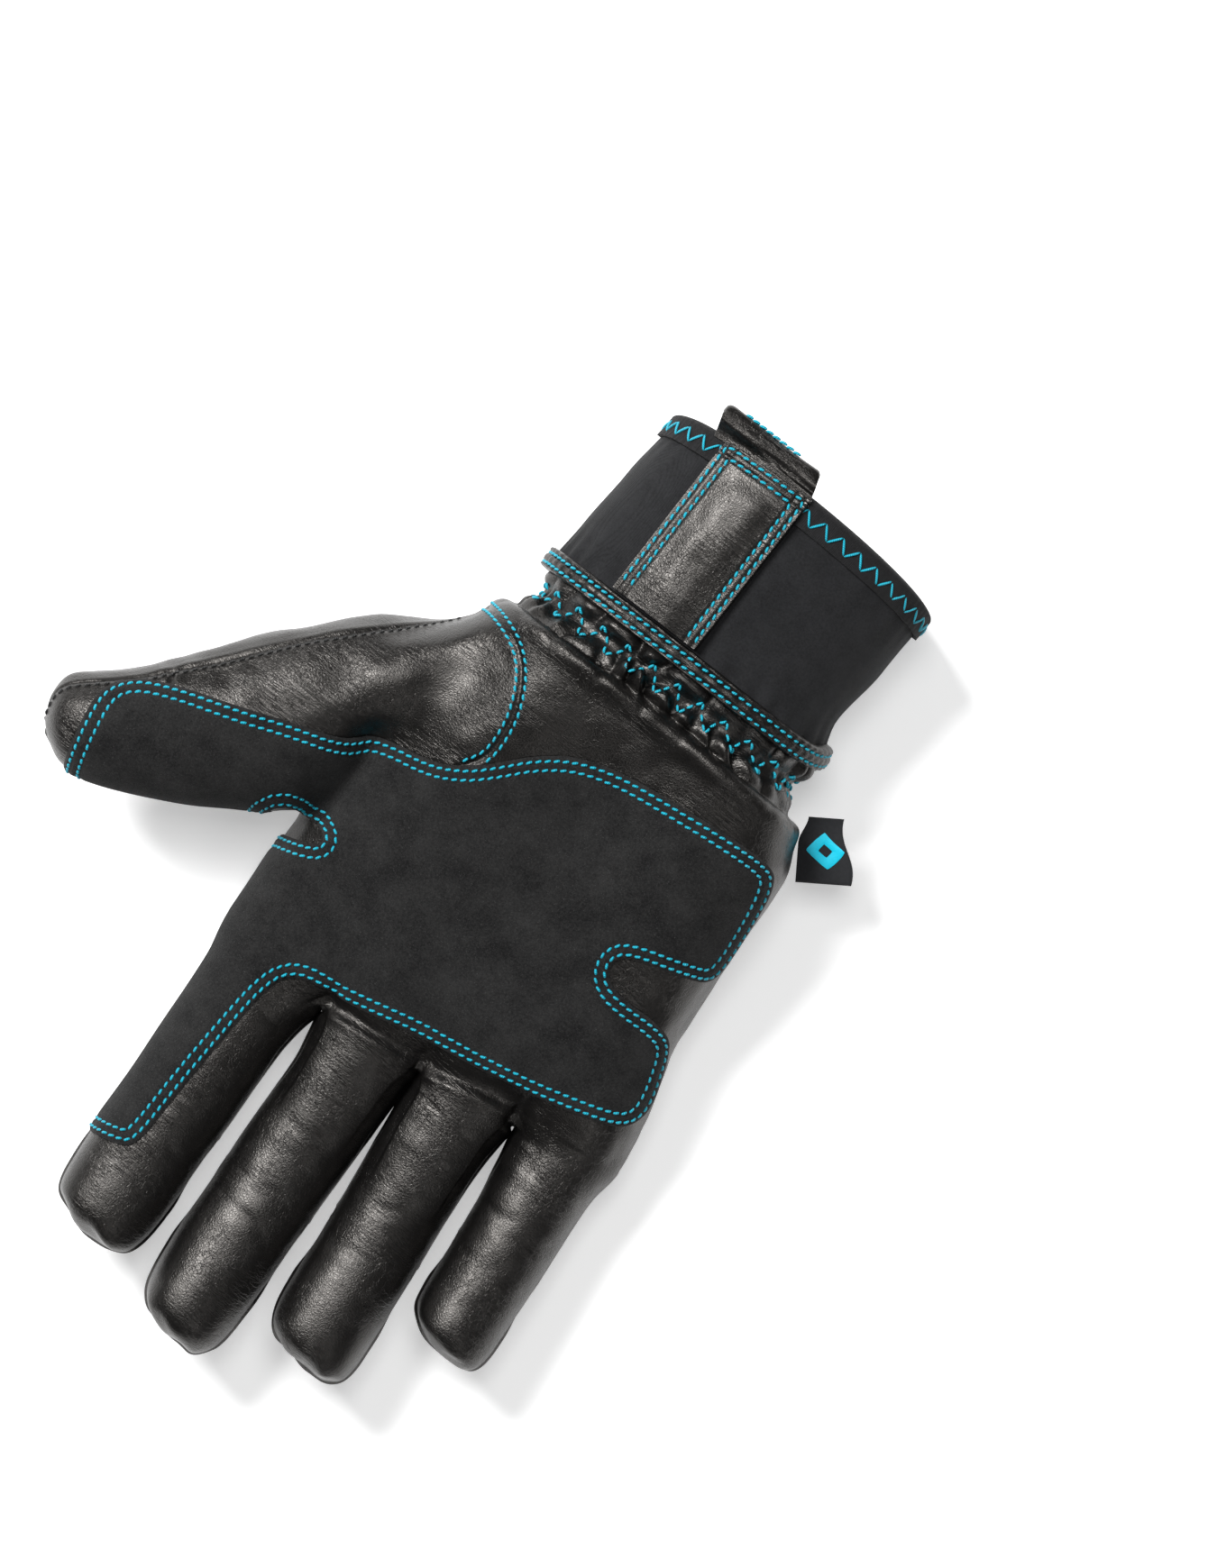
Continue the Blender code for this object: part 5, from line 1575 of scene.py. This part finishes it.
def curve(points, samples):
    """A smooth curve through points."""
    points = [np.array(p, float) for p in points]
    ends = [2 * points[0] - points[1], *points, 2 * points[-1] - points[-2]]
    found = []
    for p0, p1, p2, p3 in zip(ends, ends[1:], ends[2:], ends[3:]):
        for t in np.arange(samples) / samples:
            found.append(0.5 * (2 * p1 + (p2 - p0) * t + (2 * p0 - 5 * p1 + 4 * p2 - p3) * t * t
                                + (3 * p1 - p0 - 3 * p2 + p3) * t ** 3))
    return found + [points[-1]]


def loop_path(x, top, bottom, far):
    """The loop's outline at one x, as (y, z) points: from under the tab's end over the ridge and back."""
    hinge = JOINTS["pull_loop_fold"]["pos_m"][1] / MM
    root = tab_place(x, box_mm("pull_tab")[0][1])[0]
    middle = (bottom + top) / 2
    return curve(((root[1] + 1.0, root[2] + 0.7), (root[1] - 0.9, root[2] + 0.9), (hinge - 1.6, top - 0.6),
                  (hinge - 3.3, top), (far + 1.5, top - 0.7), (far + 0.4, top - 1.7), (far, middle),
                  (far + 0.6, bottom + 0.9), (far + 2.5, bottom), (far + 4.6, bottom)), 7)


def add_loop(finish, thread):
    """The pull loop: leather that rises from the tab's end to a rolled ridge and turns back under itself."""
    low, high = box_mm("pull_loop")
    hinge = np.array(JOINTS["pull_loop_fold"]["pos_m"]) / MM
    thick, skew, across = 1.15, 2.6, 56
    width, far, bottom, top = high[0] - low[0] - skew + 2.4, low[1] + 1.2, low[2], hinge[2] + 1.9
    shares = np.linspace(0, 1, across + 1)
    columns = []
    for share in shares:
        corner = 2.2 * (1 - round_over((1 - share) * width, 3.0)) + 0.7 * (1 - round_over(share * width, 1.2))
        columns.append(loop_path(low[0] + width * share, top, bottom, far + corner))
    outer, inner = [], []
    for step in range(len(columns[0])):
        for share, path in zip(shares, columns):
            place, before, after = path[step], path[max(0, step - 1)], path[min(len(path) - 1, step + 1)]
            way = (after - before) / np.linalg.norm(after - before)
            out = np.array((way[1], -way[0]))
            full = 0.3 + (thick - 0.3) * round_over(min(share, 1 - share) * width, 0.7)
            sag = 0.30 * math.sin(math.pi * share) + 0.10 * math.sin(9 * share + 0.3 * step)
            lifted = place - out * (0.15 + sag * float(smooth((step - 8) / 10)))
            inside = lifted - out * full
            x = low[0] + skew * (path[0][0] - place[0]) / (path[0][0] - far) + width * share
            outer.append(np.array((x, lifted[0], lifted[1])))
            inner.append(np.array((x, inside[0], inside[1])))
    made = sheet("pull_loop_leather", outer, inner, across, finish, 60)
    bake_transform(made)
    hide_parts("pull_loop")
    line = []
    for share in np.linspace(0.22, 0.80, 30):
        x = low[0] + skew + width * share
        line.append((np.array((x, far + 0.2, (bottom + top) / 2 + 0.9)), np.array((0.0, -0.6, 0.8)), 0))
    centres, ways, normals, _ = along_line(line, 1.9, 2.2)
    fit(stitches_piece("pull_loop_stitches", centres, ways, normals, thread, 2.3), "loop")


LABEL_WIDTH, LABEL_REACHES = 16.8, (14.2, 11.2)
LABEL_DEPTH = 12.0                  # about how far the label reaches out, which its mark is laid out by
MARK_RADIUS, MARK_HOLE = 4.6, 0.36


def label_spot(joint):
    """place(u, v) on the label's middle: u along its seam, v out from it, both 0 to 1."""
    seam, start = np.array(joint["axis"]), np.array(joint["pos_m"]) / MM
    out = np.array((seam[1], -seam[0], 0.0))
    out = out if out[0] < 0 else -out

    def place(u, v):
        reach = LABEL_REACHES[0] + (LABEL_REACHES[1] - LABEL_REACHES[0]) * float(smooth(u))
        reach += 0.5 * math.sin(2 * math.pi * u)
        lift = 1.1 * v * v * math.sin(2.6 * u + 0.5) + 0.35 * math.sin(4.0 * v + 5.0 * u)
        root = 0.1 + 2.2 * (1 - v) * float(smooth((u - 0.6) / 0.4))
        return start + seam * (LABEL_WIDTH * u - 1.9) + out * (reach * v + root) + np.array((0, 0, lift))

    return place


def add_label(tape, mark):
    """The folded woven label on the little finger's side, with a plain generic mark."""
    place = label_spot(JOINTS["label_fold"])
    across, outer, inner = 34, [], []
    for v in np.linspace(0, 1, 37):
        for u in np.linspace(0, 1, across + 1):
            full = round_over(min(u, 1 - u) * LABEL_WIDTH, 0.5) * round_over((1 - v) * LABEL_DEPTH, 0.7)
            full = 0.16 + 0.42 * full
            outer.append(place(u, v) + np.array((0, 0, full)))
            inner.append(place(u, v) - np.array((0, 0, full)))
    fit(sheet("side_label_tape", outer, inner, across, tape), "label", "side_label")
    fit(label_mark(place, mark), "label")


def label_mark(place, finish):
    """A diamond ring on the label's upper side."""
    around, points, faces = 72, [], []
    rings = ((1.0, 0.45), (1.0, 0.74), (0.93, 0.84),
             (MARK_HOLE + 0.06, 0.84), (MARK_HOLE, 0.74), (MARK_HOLE, 0.45))
    for k in range(around):
        angle = 2 * math.pi * k / around
        size = MARK_RADIUS / (abs(math.cos(angle)) ** 1.15 + abs(math.sin(angle)) ** 1.15)
        for share, lift in rings:
            u = 0.5 + size * share * math.cos(angle) / LABEL_WIDTH
            v = 0.55 + size * share * math.sin(angle) / LABEL_DEPTH
            points.append(place(u, v) + np.array((0, 0, lift)))
    n = len(rings)
    for k in range(around):
        m = (k + 1) % around
        faces += [(k * n + j, m * n + j, m * n + (j + 1) % n, k * n + (j + 1) % n) for j in range(n)]
    return closed_mesh("side_label_mark", points, faces, finish, 40)


# ---------------------------------------------------------------- building it

def make_fields(skin):
    """The skin's fields, and the lines that it is cut along."""
    plan = skin.points[:, :2]
    skin.fields["patch"] = outline_distance(plan, rounded(PATCH_OUTLINE))
    skin.fields["thenar"] = outline_distance(plan, rounded(THENAR_OUTLINE))
    on_palm, own_digit = np.zeros(len(skin.points)), np.zeros(len(skin.points))
    on_palm[np.unique(skin.quads[palm_side(skin.labels)])] = 1.0
    own_digit[skin.quads.reshape(-1)] = np.repeat(digit_of(skin.labels), 4)
    skin.fields["palm"], skin.fields["digit"] = on_palm, own_digit
    height, along = finger_heights(skin.points, own_digit.astype(int))
    skin.fields["fork"] = height - 0.05 - 0.20 * (1 - smooth((along - 0.18) / 0.2))
    skin.split("fork", 0.0, fork_upper)
    for name, outline in zip(("inset_ring", "inset_middle"), INSET_OUTLINES):
        skin.fields[name] = outline_distance(skin.points[:, :2], np.array(outline))
        for level in (0.0, -0.8):
            skin.split(name, level, hand_palm)
    for field, levels in (("thenar", (0.0, -0.5, 0.5, -1.1, 1.1)), ("patch", (0.0, -0.35, -0.9, -2.2))):
        for level in levels:
            skin.split(field, level, palm_side)


def beside_patch(centres):
    """Which places lie outside the grip patch."""
    return outline_distance(centres[:, :2], rounded(PATCH_OUTLINE)) > 0.6


def add_glove(leather, suede, lining, elastic, thread, dark_thread):
    """All that is cut from the hand's skin: leather, grip patch, insert, wrist elastic and their seams."""
    cage = glove_cage()
    skin = Skin(cage, SKIN_LEVELS)
    digits = {name: Digit(name, skin.points, skin.labels, skin.quads) for name in DIGITS[1:]}
    make_fields(skin)
    skin.rest, skin.digits = skin.points.copy(), digits
    shape_skin(skin)
    normals = surface_normals(skin.points, skin.quads, skin.triangles)
    whole, patch = leather_layer(skin, normals), patch_layer(skin, normals)
    cut_layer(whole, leather_node, "leather", leather, digits)
    cut_layer(patch, patch_node, "suede", suede, digits)
    fields = skin.fields
    sew_rows(patch, palm_side, fields["patch"], PATCH_ROWS, "patch_stitches", thread, digits)
    sew_rows(whole, hand_palm, fields["thenar"], THENAR_ROWS, "thenar_stitches", thread, digits, beside_patch)
    sew_rows(whole, thumb_edge, fields["hard"], THUMB_SEAM_ROWS, "thumb_seam_stitches", dark_thread, digits)
    add_gather_zigzag(skin, thread)
    inner = Skin(cage, LINING_LEVELS)
    cut_layer(insert_layer(inner), insert_node, "lining", lining, digits)
    add_wrist_elastic(inner, elastic)


def add_gather_zigzag(skin, thread):
    """The zigzag that sews the elastic to the gathered leather."""
    near = skin.points[skin.quads[:, 0], 1] < WRIST_CUT + 4
    tree = BVHTree.FromPolygons(skin.points.tolist(), skin.quads[near].tolist())

    def place(angle, y):
        start = np.array(oval_point((y, WRIST_X, 60.0, 42.0), angle))
        way = np.array((WRIST_X, y, WRIST_Z)) - start
        way /= np.linalg.norm(way)
        found = []
        for turn, step in ((0, 0), (-0.7, 0), (0.7, 0), (-1.4, 0), (1.4, 0), (0, -0.7), (0, 0.7)):
            beside = start + np.array((-way[2] * turn, step, way[0] * turn))
            hit, _, _, distance = tree.ray_cast(Vector(beside), Vector(way))
            if hit is not None:
                found.append(distance)
        reach = sum(sorted(found)[:4]) / 4        # the thread bridges the valleys
        return start + way * (reach - 0.05), -way

    legs = zigzag_legs(place, GATHER_PITCH, *GATHER_TURNS)
    piece = sew_legs("wrist_zigzag", legs, 3, 1.95, THREAD_RADIUS, thread)
    follow(piece, None, 3)


def add_wrist_elastic(skin, finish):
    """The elastic band hidden between the gathered leather and the insert."""
    middle = skin.points[skin.quads].mean(axis=1)
    digit = digit_of(skin.labels)
    band = (digit == 0) & (middle[:, 1] < -50.5) & (middle[:, 1] > -58.5)
    layer = skin_layer(skin, skin.normals, skin.points, *WRIST_ELASTIC_DEPTHS)
    piece = layer_piece("wrist_elastic_band", layer, band, np.zeros(0, bool), finish)
    follow(piece, None, 3)
    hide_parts("wrist_elastic")


# Each light's place, size and power, in m and W.
LIGHTS = (("key_light", (0.88, -0.25, 1.2), 0.5, 32.0), ("fill_light", (-0.9, 0.5, 1.2), 0.6, 2.5),
          ("top_light", (0.12, -0.32, 1.6), 0.5, 8.0))
WORLD_LIGHT, FLOOR_REACH = 0.09, 6.0


def add_stage():
    """A pale floor and soft studio lights."""
    mesh = bpy.data.meshes.new("studio_floor")
    z = min(CAD_LOW.z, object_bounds()[0].z) - 0.2 * MM
    corners = [(x * FLOOR_REACH, y * FLOOR_REACH, z) for x, y in ((-1, -1), (1, -1), (1, 1), (-1, 1))]
    mesh.from_pydata(corners, [], [(0, 1, 2, 3)])
    mesh.materials.append(floor_finish())
    floor = bpy.data.objects.new("studio_floor", mesh)
    bpy.context.collection.objects.link(floor)

    world = bpy.data.worlds.new("studio")
    bpy.context.scene.world = world
    world.use_nodes = True
    colour, strength = world.node_tree.nodes["Background"].inputs[:2]
    colour.default_value, strength.default_value = (1.0, 1.0, 1.0, 1.0), WORLD_LIGHT
    bpy.context.scene.view_settings.view_transform = "Standard"
    for name, place, size, power in LIGHTS:
        lamp = bpy.data.lights.new(name, "AREA")
        lamp.shape, lamp.size, lamp.size_y, lamp.energy = "RECTANGLE", size, size, power
        holder = bpy.data.objects.new(name, lamp)
        holder.location = place
        holder.rotation_euler = Vector(place).to_track_quat("Z", "Y").to_euler()
        bpy.context.collection.objects.link(holder)


CAMERA_ROLL = math.radians(38.0)    # the hand's length lies this far off the picture's vertical
FRAME_CENTRE = (-1.7, -27.3)
FRAME_HEIGHT, CAMERA_DISTANCE, CAMERA_AIM_Z = 395.5, 1650.0, 30.0


def add_camera():
    """A long-lens camera straight over the palm."""
    right = Vector((-math.cos(CAMERA_ROLL), -math.sin(CAMERA_ROLL), 0.0))
    up = Vector((math.sin(CAMERA_ROLL), -math.cos(CAMERA_ROLL), 0.0))
    data = bpy.data.cameras.new("camera")
    data.sensor_width = 36.0
    data.lens = data.sensor_width * CAMERA_DISTANCE / FRAME_HEIGHT
    data.clip_start, data.clip_end = 0.1, 20.0
    camera = bpy.data.objects.new("camera", data)
    x, y = FRAME_CENTRE
    place = Vector((x, y, CAMERA_AIM_Z + CAMERA_DISTANCE)) * MM
    back = Vector((0.0, 0.0, 1.0))
    camera.matrix_world = Matrix((
        (right.x, up.x, back.x, place.x), (right.y, up.y, back.y, place.y),
        (right.z, up.z, back.z, place.z), (0, 0, 0, 1)))
    bpy.context.collection.objects.link(camera)
    bpy.context.scene.camera = camera


leather, suede, thread = leather_finish(), suede_finish(), thread_finish("cyan_thread", CYAN_THREAD)
neoprene = knit_finish("neoprene_knit", (0.0020, 0.0021, 0.0026), (0.0150, 0.0153, 0.0168), 0.55, 0.5, 0.06)
elastic = knit_finish("elastic_knit", (0.003, 0.003, 0.0032), (0.013, 0.013, 0.014), 0.9, 0.7, 0.12)
lining = knit_finish("brushed_lining", (0.03, 0.033, 0.036), (0.085, 0.09, 0.095), 1.4, 1.2, 0.10)
add_glove(leather, suede, lining, elastic, thread, thread_finish("black_thread", BLACK_THREAD))
add_sleeve(neoprene)
add_binding(leather, thread)
add_trim(elastic, thread)
add_tab(leather, thread)
add_loop(leather, thread)
add_label(label_finish(), mark_finish())
add_stage()
add_camera()
